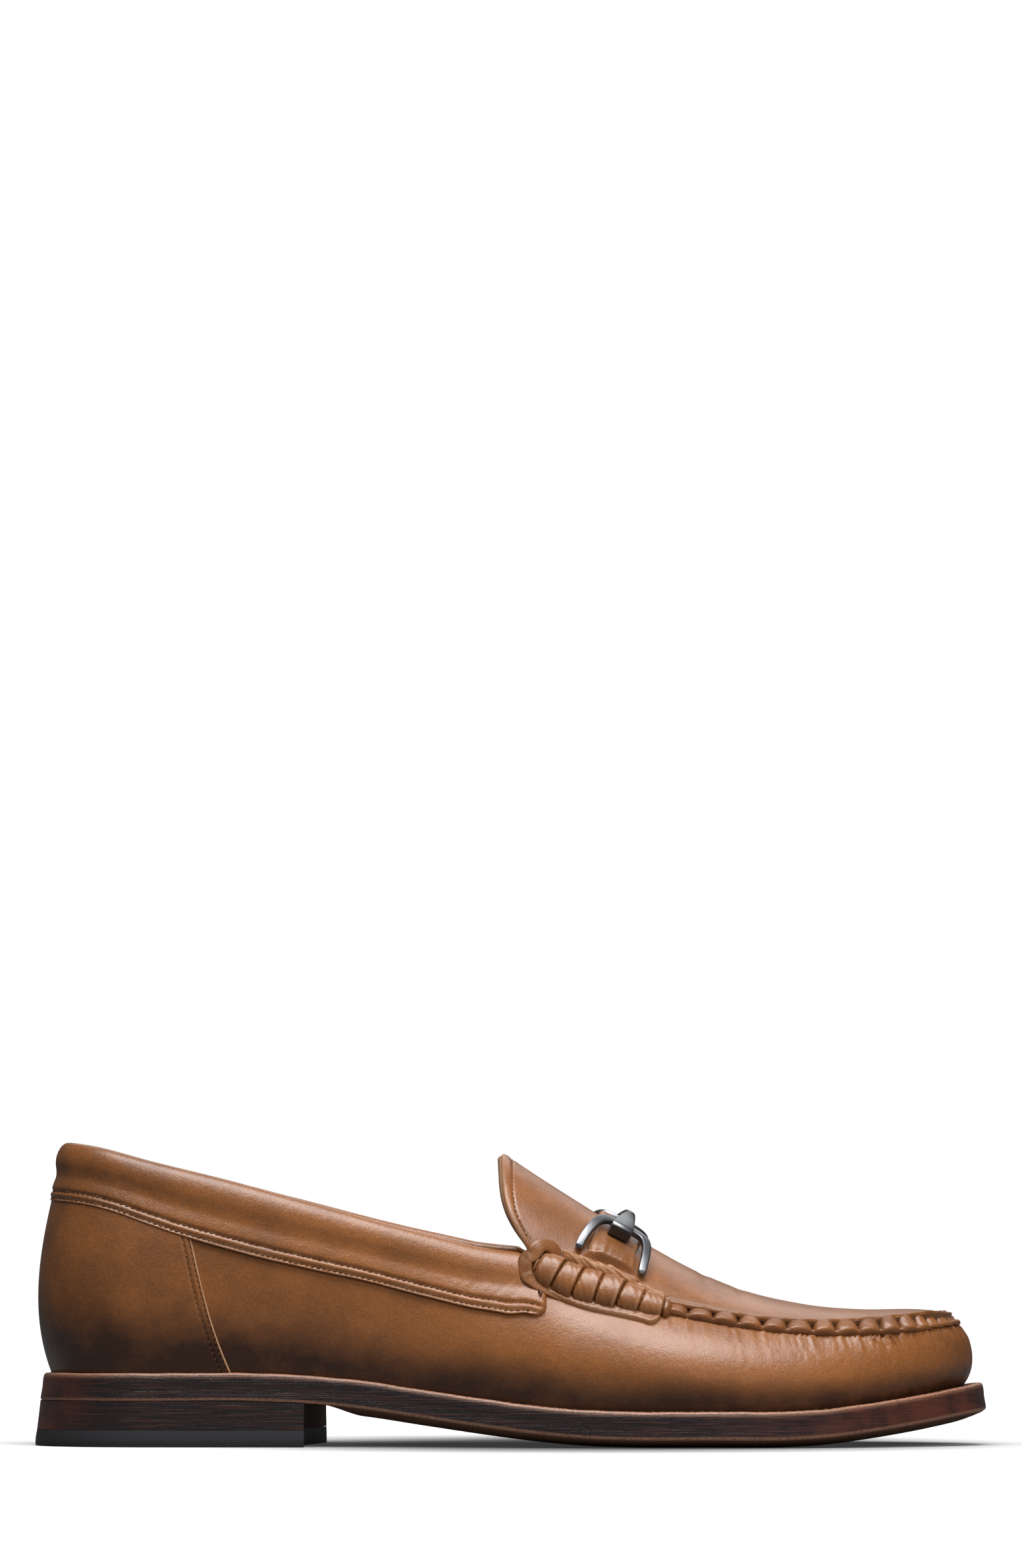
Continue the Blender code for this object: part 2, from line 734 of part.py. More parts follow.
def upper_skin(u):
    """The upper's outer face as one open sheet: points, overlay heights, wall depths, faces and edges."""
    count = len(u)
    # Rows up the wall; two of them pinch the band's lower edge, and the last three the seam.
    low_rows = np.linspace(0, 1, WALL_ROWS + 1)[:-1]
    rows = np.concatenate([low_rows, [0.985, 1.0, 1.25, 1.50, 1.72, 1.88, 2.0]])
    girth = wall_length(u) * (1 - band_share(u))
    points, relief, depth = [], [], []
    for v in rows:
        points.append(skin(u, np.full(count, v)))
        below = girth * (2 - max(v, 1.0))
        relief.append(wall_relief(u, np.full(count, v), below))
        pad = COLLAR_PADDING * ripple(below - 0.002, 0.010) * (v >= 1)
        depth.append(WALL + np.where(station(u)[0] <= BAND_END, pad, 0))
    points = np.concatenate(points)
    relief = np.concatenate(relief)
    depth = np.concatenate(depth)
    faces = ring_faces([range(count)] * len(rows))
    top = (len(rows) - 1) * count
    first = int(round(THROAT_U * RIBS))

    across = np.linspace(-1, 1, APRON_CELLS + 1)
    across = np.sin(across * np.pi / 2 * 0.92) / np.sin(np.pi / 2 * 0.92)
    new_points, new_relief, lines = [], [], {}

    def line(key, a, t, ends):
        """Adds one line across the plug between two points of the wall's top edge."""
        start = len(points) + len(new_points)
        for ai, ti in zip(a, t):
            new_points.append(apron(np.array(ai), np.array(ti)))
            from_seam = (1 - abs(ti)) * float(seam_half(np.array(ai), ti > 0))
            tall = seam_ridge(ai) * ripple(from_seam, SEAM_WIDTH) if ai > THROAT else 0
            new_relief.append(float(tall))
        lines[key] = [ends[0], *range(start, start + len(a)), ends[1]]

    inner_t = across[1:-1]
    for k in range(TONGUE_LINES, 0, -1):
        a = tongue_station(k / TONGUE_LINES, inner_t)
        line(-k, a, inner_t, (top + first, top + count - first))
    half = count // 2
    for i in range(first, half):
        share = float(edge_line(np.array(u[i]))[0] / SOLE_LENGTH)
        line(i, np.full(len(inner_t), share), inner_t, (top + i, top + count - i))
    order = sorted(lines)
    for low, high in zip(order, order[1:]):
        for j in range(APRON_CELLS):
            face = [lines[low][j], lines[high][j], lines[high][j + 1], lines[low][j + 1]]
            faces.append(tuple(dict.fromkeys(face)))
    tip = top + half
    for j in range(APRON_CELLS):
        faces.append((lines[half - 1][j], tip, lines[half - 1][j + 1]))
    points = np.concatenate([points, new_points])
    relief = np.concatenate([relief, new_relief])
    depth = np.concatenate([depth, np.full(len(new_points), WALL)])
    collar = [top + i % count for i in range(count - first, count + first + 1)]
    mouth = collar + lines[-TONGUE_LINES][1:-1]
    return points, relief, depth, faces, list(range(count)), mouth


def make_upper(u, material):
    """The upper: its sheet, a wall's depth inside it, and rims round the feather line and the mouth."""
    points, relief, depth, faces, foot, mouth = upper_skin(u)
    normals = vertex_normals(points, faces)
    outer = points + normals * relief[:, None]
    inside = points - normals * depth[:, None]
    count = len(points)
    faces = [*faces, *[tuple(count + i for i in reversed(face)) for face in faces]]
    for i, j in zip(foot, foot[1:] + foot[:1]):
        faces.append((i, count + i, count + j, j))
    # The mouth's rim is rounded by one loop raised over the middle of its thickness.
    rim = []
    before = np.roll(mouth, 1)
    after = np.roll(mouth, -1)
    along = points[after] - points[before]
    rise = np.cross(normals[mouth], along)
    rise /= np.linalg.norm(rise, axis=1, keepdims=True)
    thick = (relief + depth)[mouth][:, None]
    for share, lift in ((0.14, 0.34), (0.5, 0.5), (0.86, 0.34)):
        flat = outer[mouth] * (1 - share) + inside[mouth] * share
        rim.append(flat + rise * thick * lift)
    rails = [mouth, *[[2 * count + k * len(mouth) + i for i in range(len(mouth))] for k in range(3)]]
    rails.append([count + i for i in mouth])
    for low, high in zip(rails, rails[1:]):
        for i in range(len(mouth)):
            j = (i + 1) % len(mouth)
            faces.append((low[i], low[j], high[j], high[i]))
    return add_object("upper", np.concatenate([outer, inside, *rim]), faces, material)


def patch(name, base, low, high, material):
    """A closed solid on a surface: a grid of surface points raised by `low` and by `high`."""
    rows, columns = base.shape[:2]
    along = np.gradient(base, axis=0)
    across = np.gradient(base, axis=1)
    normal = np.cross(along, across)
    normal /= np.linalg.norm(normal, axis=-1, keepdims=True)
    bottom = base + normal * np.broadcast_to(low, base.shape[:2])[..., None]
    top = base + normal * np.broadcast_to(high, base.shape[:2])[..., None]
    points = np.concatenate([bottom.reshape(-1, 3), top.reshape(-1, 3)])
    n = rows * columns
    faces = []
    for i in range(rows - 1):
        for j in range(columns - 1):
            a, b = i * columns + j, (i + 1) * columns + j
            faces.append((a, a + 1, b + 1, b))
            faces.append((n + a, n + b, n + b + 1, n + a + 1))
    border = [j for j in range(columns)]
    border += [i * columns + columns - 1 for i in range(1, rows)]
    border += [(rows - 1) * columns + j for j in range(columns - 2, -1, -1)]
    border += [i * columns for i in range(rows - 2, 0, -1)]
    for a, b in zip(border, border[1:] + border[:1]):
        faces.append((b, a, n + a, n + b))
    return add_object(name, points, faces, material)


def strap_grid():
    """The saddle strap on the plug, under the bit: its edges flare towards the beef rolls."""
    out = STRAP["out"][-1]
    t = np.sin(np.linspace(-1, 1, 21) * np.pi / 2 * 0.85) / np.sin(np.pi / 2 * 0.85) * out
    share = np.linspace(0, 1, 7)[:, None]
    back = smooth(STRAP, "back", np.abs(t))
    front = smooth(STRAP, "front", np.abs(t))
    a = BIT_PLACE + STRAP_WIDTH * (share * (front + back) - back) / SOLE_LENGTH
    return apron(a, np.broadcast_to(t, a.shape))


def wall_u(a, inner):
    """The u whose rib ends at length share a on the seam or the collar."""
    dense = np.linspace(0, 0.5, 2001)
    reached = edge_line(dense)[:, 0] / SOLE_LENGTH
    u = np.interp(a, reached, dense)
    return np.where(inner, 1 - u, u)


def up_plug(a, inner, distance):
    """The t that lies `distance` up the plug from its seam, measured along the skin."""
    side = 1.0 if inner else -1.0
    steps = side * np.linspace(1, 0.5, 41)
    line = apron(np.full(steps.shape, a), steps)
    length = np.append(0, np.cumsum(np.linalg.norm(np.diff(line, axis=0), axis=1)))
    return np.interp(distance, length, steps)


def make_roll(name, inner, material):
    """A beef roll over the seam: wraps of strap that taper towards the toe."""
    rows, across = ROLL_WRAPS * 4 + 1, 8
    a = np.linspace(ROLL_START, ROLL_END, rows)
    along = np.linspace(0, 1, rows)
    taper = 1 + (ROLL_TAPER - 1) * along
    taper = taper * (1 - 0.25 * np.clip(1 - np.minimum(along, 1 - along) / 0.08, 0, 1) ** 2)
    w = np.linspace(-1, 1, across)
    base = np.empty((rows, across, 3))
    low = np.empty((rows, across))
    for i in range(rows):
        reach = np.where(w < 0, ROLL_DOWN, ROLL_UP) * taper[i] * w
        u = wall_u(np.full(across, a[i]), np.full(across, inner))
        below = np.clip(-reach, 0, None)
        down = wall_point(u, 1 - below / wall_length(u))
        up = apron(np.full(across, a[i]), up_plug(a[i], inner, np.clip(reach, 0, None)))
        base[i] = np.where((reach < 0)[:, None], down, up)
        over_band = np.clip((below - 0.0030) / 0.0040, 0, 1) * np.clip((BAND_END + 0.03 - a[i]) / 0.015, 0, 1)
        low[i] = seam_ridge(a[i]) * ripple(reach, SEAM_WIDTH) + OVERLAY_GAP
        low[i] += 1.5 * BAND_THICKNESS * over_band
    phase = np.linspace(0, ROLL_WRAPS, rows)[:, None]
    wrap = 1 - ROLL_CREASE * (1 - np.abs(np.sin(np.pi * phase)) ** 0.6)
    dome = np.sqrt(np.clip(1 - w**2, 0, 1))[None, :]
    high = low + 0.0010 + ROLL_HEIGHT * taper[:, None] * wrap * dome
    if inner:
        base, low, high = base[:, ::-1], low[:, ::-1], high[:, ::-1]
    return patch(name, base, low, high, material)


def plug_normal(a, t):
    """Direction out of the plug at (a, t)."""
    step = 1e-3
    along = apron(a + step, t) - apron(a - step, t)
    across = apron(a, t + step) - apron(a, t - step)
    normal = np.cross(along, across)
    return normal / np.linalg.norm(normal, axis=-1, keepdims=True)


def bit_place(y):
    """The bit's middle line on the plug: it leans back as the plug falls away at the sides."""
    ridge = apron(np.array(BIT_PLACE), smooth(SPINE_LINE, "ridge", BIT_PLACE))
    a = np.full(np.shape(y), BIT_PLACE)
    for _ in range(6):
        t = y / seam_half(a, y > 0)
        fall = ridge[2] - apron(a, t)[..., 2]
        # Only the fall across counts, not the plug's own slope along the shoe.
        slope = apron(a, smooth(SPINE_LINE, "ridge", a))[..., 2] - ridge[2]
        a = BIT_PLACE - BIT_LEAN * (fall + slope) / SOLE_LENGTH
    return a, y / seam_half(a, y > 0)


def bit_frames(y):
    """Frames along the bit's bar at each y: seats on the strap, and steps forward and out."""
    a, t = bit_place(y)
    out = plug_normal(a, t)
    step = 1e-3
    forward = apron(a + step, t) - apron(a - step, t)
    forward /= np.linalg.norm(forward, axis=-1, keepdims=True)
    seat = apron(a, t) + out * (OVERLAY_GAP + STRAP_THICKNESS + GAP)
    return seat, forward, out


def make_bit_bar(material):
    """The bit's bar: an arch over the strap, broad at its ends and waisted over the ridge."""
    y = np.linspace(-BIT_SPAN / 2, BIT_SPAN / 2, 17)
    middle = np.abs(y) / (BIT_SPAN / 2)
    width = BIT_WAIST + (BIT_WIDTH - BIT_WAIST) * middle
    height = BIT_MIDDLE + (BIT_HEIGHT - BIT_MIDDLE) * middle
    seat, forward, out = bit_frames(y)
    corner = 0.0005
    loops = []
    for i in range(len(y)):
        w, h = width[i] / 2, height[i]
        edge = min(corner, w / 2)
        section = [(-w, 0), (w, 0), (w, h - edge), (w - edge, h), (-w + edge, h), (-w, h - edge)]
        loops.append([seat[i] + forward[i] * x + out[i] * z for x, z in section])
    n = 6
    faces = ring_faces(loops)
    faces.append(tuple(range(n)))
    faces.append(tuple(reversed([(len(y) - 1) * n + i for i in range(n)])))
    bar = add_object("bit_bar", np.concatenate(loops), faces, material)
    recalculate(bar)
    for side in (-1.0, 1.0):
        cut_eye(bar, side)
    return bar


def cut_eye(bar, side):
    """The eye that a half ring passes through, cut right through the bar near its end."""
    seat, forward, out = bit_frames(np.array([side * EYE_SPAN / 2]))
    seat, forward, out = seat[0], forward[0], out[0]
    aside = np.cross(out, forward)
    centre_point = seat + out * (EYE_FLOOR + EYE_HEIGHT / 2)
    points = []
    for x in (-BIT_WIDTH, BIT_WIDTH):
        for y, z in ((-1, -1), (1, -1), (1, 1), (-1, 1)):
            points.append(
                centre_point + forward * x + aside * y * EYE_WIDTH / 2 + out * z * EYE_HEIGHT / 2
            )
    faces = [(0, 1, 2, 3), (7, 6, 5, 4), (0, 4, 5, 1), (1, 5, 6, 2), (2, 6, 7, 3), (3, 7, 4, 0)]
    name = "eye_cutter_inner" if side > 0 else "eye_cutter_outer"
    cutter = add_object(name, np.array(points), faces, bar.data.materials[0])
    recalculate(cutter)
    cutter.hide_render = True
    cutter.display_type = "WIRE"
    cut = bar.modifiers.new(name, "BOOLEAN")
    cut.operation = "DIFFERENCE"
    cut.object = cutter


def recalculate(obj):
    """Turns every face of a closed mesh outwards."""
    work = bmesh.new()
    work.from_mesh(obj.data)
    bmesh.ops.recalc_face_normals(work, faces=work.faces)
    if work.calc_volume(signed=True) < 0:
        bmesh.ops.reverse_faces(work, faces=work.faces)
    work.to_mesh(obj.data)
    work.free()


def make_half_ring(name, inner, material):
    """A half ring of the bit: a flat bar through its eye, whose legs drop beside the strap."""
    side = 1.0 if inner else -1.0
    step = np.linspace(0, 14, 36)
    place = BIT_PLACE + smooth(RING_PATH, "forward", step) * RING_SPAN / SOLE_LENGTH
    aside = side * (EYE_SPAN / 2 + smooth(RING_PATH, "out", step) * RING_REACH)
    t = aside / seam_half(place, np.full(len(step), inner))
    normal = plug_normal(place, t)
    path = apron(place, t) + normal * (RING_LIFT * smooth(RING_PATH, "lift", step))[:, None]
    tangent = np.gradient(path, axis=0)
    tangent /= np.linalg.norm(tangent, axis=1, keepdims=True)
    flat = np.cross(normal, tangent)
    flat /= np.linalg.norm(flat, axis=1, keepdims=True)
    lift = np.cross(tangent, flat)
    edge = 0.0004
    half = RING_BAR / 2
    tall = RING_THICKNESS
    profile = [
        (-half, 0.0),
        (half, 0.0),
        (half, tall - edge),
        (half - edge, tall),
        (-half + edge, tall),
        (-half, tall - edge),
    ]
    points = [path + flat * y + lift * z for y, z in profile]
    points = np.stack(points, 1).reshape(-1, 3)
    n = len(profile)
    faces = ring_faces([range(n)] * len(step))
    faces.append(tuple(range(n)))
    faces.append(tuple(reversed([(len(step) - 1) * n + i for i in range(n)])))
    obj = add_object(name, points, faces, material)
    recalculate(obj)
    return obj


def main():
    for obj in list(bpy.data.objects):
        bpy.data.objects.remove(obj)
    u = rib_positions()
    calf = finish("tan_calf", (0.36, 0.19, 0.09), 0.42)
    strap_calf = finish("strap_calf", (0.33, 0.17, 0.08), 0.42)
    dressed = finish("dressed_edge", (0.035, 0.026, 0.026), 0.38)
    rubber = finish("lift_rubber", (0.02, 0.02, 0.022), 0.6)
    tread = finish("tread_leather", (0.30, 0.17, 0.09), 0.6)
    sock = finish("sock_leather", (0.42, 0.27, 0.15), 0.6)
    steel = finish("bit_metal", (0.42, 0.42, 0.43), 0.22, 1.0)
    make_outsole(u, tread)
    make_welt(u, dressed)
    make_heel(dressed, rubber)
    make_insole(u, sock)
    make_upper(u, calf)
    patch(
        "saddle_strap",
        strap_grid(),
        OVERLAY_GAP,
        OVERLAY_GAP + STRAP_THICKNESS,
        strap_calf,
    )
    make_roll("beef_roll_outer", False, strap_calf)
    make_roll("beef_roll_inner", True, strap_calf)
    make_bit_bar(steel)
    make_half_ring("bit_half_ring_outer", False, steel)
    make_half_ring("bit_half_ring_inner", True, steel)


main()
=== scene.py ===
"""Bit loafer, right shoe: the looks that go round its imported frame.

Metres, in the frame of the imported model: +X runs to the toe, +Y to the inner side and +Z up, and
the origin is the middle of the heel's rest face. Shapes are worked out with x counted from the
back of the sole, and `put` moves each one back by half of the heel's length.

The last is described once, by functions of two parameters:
  outline(u)          the sole's edge in plan; u runs 0..1 round the shoe from the back of the
                      heel, along the outer side to the toe and back inside
  on_wall(u, below)   the side wall's skin; `below` is the distance under its top edge, which is
                      the collar behind the throat and the moccasin seam ahead of it
  apron(a, t)         the plug and tongue on top; a is a share of the sole's length and t runs
                      from -1 at the outer seam to 1 at the inner seam
"""

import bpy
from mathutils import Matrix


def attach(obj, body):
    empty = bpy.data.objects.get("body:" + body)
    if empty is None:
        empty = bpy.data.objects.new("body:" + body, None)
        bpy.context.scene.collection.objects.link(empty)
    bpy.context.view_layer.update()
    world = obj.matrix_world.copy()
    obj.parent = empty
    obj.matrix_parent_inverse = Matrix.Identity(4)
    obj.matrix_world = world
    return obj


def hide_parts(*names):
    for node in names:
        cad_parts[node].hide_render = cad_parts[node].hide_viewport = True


bl_info = {
    "name": "Bit Loafer",
    "version": (1, 0, 0),
    "blender": (4, 5, 0),
    "location": "View3D > Sidebar > Loafer",
    "description": "Leathers, seams, beef rolls, bit and sole of a bit loafer",
    "category": "Add Mesh",
}

import bpy
import numpy as np
from mathutils import Vector

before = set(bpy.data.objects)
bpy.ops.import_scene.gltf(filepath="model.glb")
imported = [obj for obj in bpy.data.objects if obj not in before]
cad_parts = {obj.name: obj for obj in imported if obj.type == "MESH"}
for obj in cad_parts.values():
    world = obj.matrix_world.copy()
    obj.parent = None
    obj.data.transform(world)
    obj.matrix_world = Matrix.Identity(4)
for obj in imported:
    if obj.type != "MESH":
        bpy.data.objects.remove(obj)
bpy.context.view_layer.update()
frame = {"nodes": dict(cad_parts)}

# Driving dimensions
SOLE_LENGTH = 0.2964
BALL_WIDTH = 0.104
WAIST_WIDTH = 0.064
HEEL_WIDTH = 0.066
HEEL_HEIGHT = 0.0142
HEEL_LENGTH = 0.0835
TOE_SPRING = 0.0086
WELT = 0.0030
OUTSOLE_EDGE = 0.0053
SOLE_ROUNDING = 0.0026
TREAD_MARGIN = 0.014
EDGE_FLARE = 0.0014
EDGE_BEVEL = 0.0012
WELT_WIDTH = 0.013
TOP_LIFT = 0.0052
HEEL_FLARE = 0.0016
BREAST_CURVE = 0.0030
BREAST_SKEW = 0.0050
INSOLE = 0.0030

WALL = 0.0020
BACK_HEIGHT = 0.0695
CORNER_HEIGHT = 0.0450
TONGUE_HEIGHT = 0.0775
TOE_HEIGHT = 0.0235
INNER_RISE = 0.0025
TONGUE_REACH = 0.0086
BAND_WIDTH = 0.0195
COLLAR_RIM = 0.0014
COUNTER_STEP = 0.0006

STRAP_THICKNESS = 0.0016
STRAP_WIDTH = 0.0134
BIT_SPAN = 0.0338
BIT_WIDTH = 0.0077
BIT_WAIST = 0.0018
BIT_HEIGHT = 0.0049
BIT_MIDDLE = 0.0039
BIT_LEAN = 0.36
EYE_SPAN = 0.0232
EYE_WIDTH = 0.0036
EYE_HEIGHT = 0.0028
EYE_FLOOR = 0.0008
RING_BAR = 0.0023
RING_THICKNESS = 0.0020
RING_SPAN = 0.0200
RING_REACH = 0.0140
RING_LIFT = 0.0032

GAP = 0.0003
OVERLAY_GAP = 0.0004

# Places along the sole, as shares of its length
THROAT = 0.5175
APRON_END = 0.965
BAND_END = 0.523
ROLL_END = 0.661
COUNTER_TOP = 0.148
COUNTER_FOOT = 0.205
BIT_PLACE = 0.6127

# Fine work
NORMAL_BLEND = 0.0030
PUCKER_TOP = 0.0002
PUCKER_DROP = 0.0052
LIP_HEIGHT = 0.0017
PLUG_LEATHER = 0.0012
TONGUE_LINING = 0.0014
TONGUE_ROW = 0.0029
COUNTER_ROWS = (0.0009, 0.0030)
BAND_PUFF = 0.00245
BAND_FRONT = 0.537
BAND_CORNER = 0.0050
BAND_ROWS = (0.822, 0.949)
BAND_INNER_ROW = 0.43
TAB_THICKNESS = 0.0013
# How far up the wall the painted shade along the welt reaches, as a share of its height.
PAINTED_SHADE_REACH = 0.38
PLUG_CREASES = ((0.700, 0.00025), (0.738, 0.00018))
PUCKER_SINK = 0.0009
PUCKER_STAND = 0.0013
SEAM_STEP = 0.0011
TOE_DRAW = 0.0027
TOE_DRAW_REACH = 0.0105
PLUG_DROOP = 0.0006
PLUG_DRAW = 0.0005
WELT_STITCH = 0.0030
WELT_STITCH_LENGTH = 0.0022
FOLD_ENDS = (0.550, 0.660)

# The photo's view, in metres: how far off it is taken, its height, and what its long side spans.
CAMERA_DISTANCE = 2.0
CAMERA_ALONG = 0.1055
CAMERA_HEIGHT = 0.045
VIEW_HEIGHT = 0.49083
VIEW_MIDDLE = 0.2069

# The stage's places, and each light's name, place, size, power and whether it mirrors
STAGE_MIDDLE = (0.105, 0.0, 0.0)
LIGHT_TARGET = (0.105, 0.0, 0.04)
LIGHTS = (
    ("overhead", (0.07, -0.30, 1.12), (1.0, 0.65), 18.0, True),
    ("front_fill", (0.60, -1.10, 0.55), (0.8, 0.6), 8.5, False),
    ("far_side", (0.20, 1.00, 0.90), (1.0, 0.8), 3.2, True),
)
# Middle and reaches of the shadow painted into the floor's colour under the forepart.
PAINTED_SHADOW_MIDDLE = (0.135, 0.015, 0.0)
PAINTED_SHADOW_NEAR = 0.045
PAINTED_SHADOW_FAR = 0.175

HEEL_CENTRE = HEEL_LENGTH / 2
SIDES = (("outer", False), ("inner", True))


def table(columns, *rows):
    """A table of sections with named columns, the first being the share of the sole's length."""
    return dict(zip(columns.split(), np.array(rows, float).T))


def stepped(columns, *rows):
    """A table whose first column, `step`, counts its rows from 0."""
    return table("step " + columns, *((step, *row) for step, row in enumerate(rows)))


# The sole's edge in plan: a named width, and how it is shared out about a centre line.
PLAN = table(
    "at width outer inner centre",
    (0.00, HEEL_WIDTH, 0.470, 0.470, 0.000),
    (0.10, HEEL_WIDTH, 0.500, 0.500, 0.000),
    (0.20, HEEL_WIDTH, 0.508, 0.495, 0.000),
    (0.30, WAIST_WIDTH, 0.523, 0.470, 0.000),
    (0.40, WAIST_WIDTH, 0.560, 0.455, 0.000),
    (0.50, WAIST_WIDTH, 0.648, 0.523, -0.005),
    (0.60, BALL_WIDTH, 0.471, 0.414, -0.005),
    (0.68, BALL_WIDTH, 0.500, 0.487, 0.000),
    (0.74, BALL_WIDTH, 0.495, 0.500, 0.008),
    (0.82, BALL_WIDTH, 0.457, 0.481, 0.022),
    (0.90, BALL_WIDTH, 0.395, 0.415, 0.043),
    (1.00, BALL_WIDTH, 0.300, 0.320, 0.062),
)
HEEL_ROUND = 0.118
TOE_ROUND = 0.210
HEEL_ROUNDNESS = 2.2
TOE_ROUNDNESS = 2.5

# Height of the lower corner of the sole's edge, as shares of the heel and of the toe spring.
SIDE_LINE = table(
    "at heel toe",
    (0.00, 1.00, 0.00),
    (0.12, 1.00, 0.00),
    (0.23, 1.00, 0.00),
    (0.30, 0.91, 0.00),
    (0.345, 0.79, 0.00),
    (0.405, 0.56, 0.00),
    (0.475, 0.30, 0.00),
    (0.52, 0.155, 0.00),
    (0.575, 0.035, 0.00),
    (0.62, 0.00, 0.00),
    (0.70, 0.00, 0.00),
    (0.78, 0.00, 0.00),
    (0.82, 0.00, 0.07),
    (0.87, 0.00, 0.27),
    (0.92, 0.00, 0.53),
    (0.97, 0.00, 0.83),
    (1.00, 0.00, 1.00),
)

# Where the upper meets the welt, in from the sole's edge.
MARGIN = table(
    "at inset",
    (0.00, 0.0042),
    (0.15, 0.0036),
    (0.40, 0.0034),
    (0.65, 0.0050),
    (0.85, 0.0055),
    (1.00, 0.0062),
)

# The collar's edge in plan, as shares of the heel's width.
COLLAR_PLAN = table(
    "at outer inner",
    (0.020, 0.300, 0.300),
    (0.08, 0.330, 0.330),
    (0.15, 0.385, 0.380),
    (0.25, 0.425, 0.415),
    (0.35, 0.440, 0.425),
    (0.45, 0.440, 0.425),
    (THROAT, 0.425, 0.415),
)
COLLAR_BACK = 0.028
COLLAR_ROUND = 0.085

# How far under the collar the counter panel stops, as shares of BAND_WIDTH: its top is under the band.
BAND = table(
    "at share",
    (0.00, 0.84),
    (0.06, 0.88),
    (0.15, 0.96),
    (0.25, 0.99),
    (0.40, 0.97),
    (BAND_END, 0.95),
    (0.60, 0.76),
    (0.72, 0.42),
    (1.00, 0.36),
)

# The moccasin seam in plan, as shares of the ball's width.
SEAM_PLAN = table(
    "at outer inner",
    (THROAT - 0.05, 0.268, 0.262),
    (THROAT, 0.270, 0.264),
    (0.575, 0.280, 0.278),
    (0.65, 0.296, 0.298),
    (0.73, 0.306, 0.312),
    (0.80, 0.298, 0.310),
    (0.87, 0.268, 0.282),
    (0.92, 0.245, 0.258),
    (APRON_END, 0.225, 0.238),
)
APRON_ROUND = 0.105

# Heights above the welt, as shares: of back to corner, corner to toe, tongue to toe.
COLLAR_LINE = table(
    "at share",
    (0.02, 1.095),
    (0.06, 1.020),
    (0.123, 0.815),
    (0.193, 0.596),
    (0.261, 0.396),
    (0.345, 0.205),
    (0.43, 0.095),
    (0.49, 0.022),
    (THROAT, 0.00),
)
SEAM_LINE = table(
    "at share",
    (THROAT - 0.05, 1.10),
    (THROAT, 1.00),
    (0.561, 0.764),
    (0.598, 0.640),
    (0.652, 0.440),
    (0.693, 0.320),
    (0.730, 0.235),
    (0.801, 0.130),
    (0.868, 0.060),
    (0.926, 0.015),
    (APRON_END, 0.00),
)
SPINE_LINE = table(
    "at share arch ridge power",
    (0.470, 1.045, 0.55, 0.10, 1.65),
    (0.487, 1.000, 0.55, 0.10, 1.65),
    (0.5175, 0.909, 0.52, 0.10, 1.65),
    (0.575, 0.735, 0.50, 0.10, 1.65),
    (0.6355, 0.538, 0.44, 0.09, 1.70),
    (0.693, 0.365, 0.32, 0.06, 1.90),
    (0.730, 0.280, 0.22, 0.04, 2.00),
    (0.801, 0.175, 0.12, 0.02, 2.20),
    (0.868, 0.103, 0.10, 0.00, 2.20),
    (0.926, 0.055, 0.10, 0.00, 2.20),
    (APRON_END, 0.00, 0.10, 0.00, 2.20),
)

# The side wall's two handles, as shares of its own height: how far each stands out, and how high.
WALL_FORM = table(
    "at low_outer low_inner low_up high_outer high_inner high_up",
    (0.00, 0.125, 0.125, 0.33, 0.080, 0.080, 0.67),
    (0.10, 0.115, 0.115, 0.33, 0.090, 0.090, 0.67),
    (0.25, 0.105, 0.140, 0.34, 0.120, 0.110, 0.68),
    (0.40, 0.120, 0.200, 0.35, 0.130, 0.100, 0.70),
    (0.52, 0.170, 0.220, 0.38, 0.170, 0.140, 0.74),
    (0.60, 0.200, 0.210, 0.42, 0.240, 0.200, 0.80),
    (0.70, 0.210, 0.200, 0.44, 0.300, 0.280, 0.82),
    (0.85, 0.210, 0.200, 0.40, 0.280, 0.270, 0.80),
    (1.00, 0.200, 0.200, 0.32, 0.200, 0.200, 0.76),
)

# The saddle strap's two edges across the plug, as shares of its width; `out` runs from ridge to seam.
STRAP = table(
    "out back front",
    (0.00, 0.500, 0.500),
    (0.30, 0.560, 0.420),
    (0.62, 0.690, 0.280),
    (0.76, 0.780, 0.275),
    (0.84, 0.850, 0.275),
    (0.875, 0.980, 0.300),
    (0.905, 1.230, 0.380),
)

# One half ring of the bit from its eye: shares of its span forward, of its reach sideways, of its lift.
RING_PATH = stepped(
    "forward out lift",
    (-0.695, 0.930, 0.22),
    (-0.665, 0.820, 0.40),
    (-0.610, 0.670, 0.60),
    (-0.530, 0.455, 0.80),
    (-0.445, 0.245, 0.94),
    (-0.330, 0.070, 1.00),
    (-0.200, 0.010, 1.00),
    (-0.060, 0.000, 1.00),
    (0.080, 0.010, 1.00),
    (0.190, 0.040, 1.00),
    (0.270, 0.130, 0.95),
    (0.310, 0.340, 0.82),
    (0.310, 0.620, 0.62),
    (0.290, 0.870, 0.38),
    (0.280, 1.030, 0.22),
)

# The collar band's width along its front and back, as shares of BAND_WIDTH, by place on the collar.
BAND_FALL = table(
    "at share",
    (0.029, 0.867),
    (0.087, 0.872),
    (0.151, 0.977),
    (0.221, 1.020),
    (0.288, 1.000),
    (0.349, 0.950),
    (0.434, 0.990),
    (0.479, 1.028),
    (0.502, 1.070),
    (0.525, 1.046),
)


def held(value):
    """A value held between 0 and 1."""
    return np.clip(value, 0, 1)


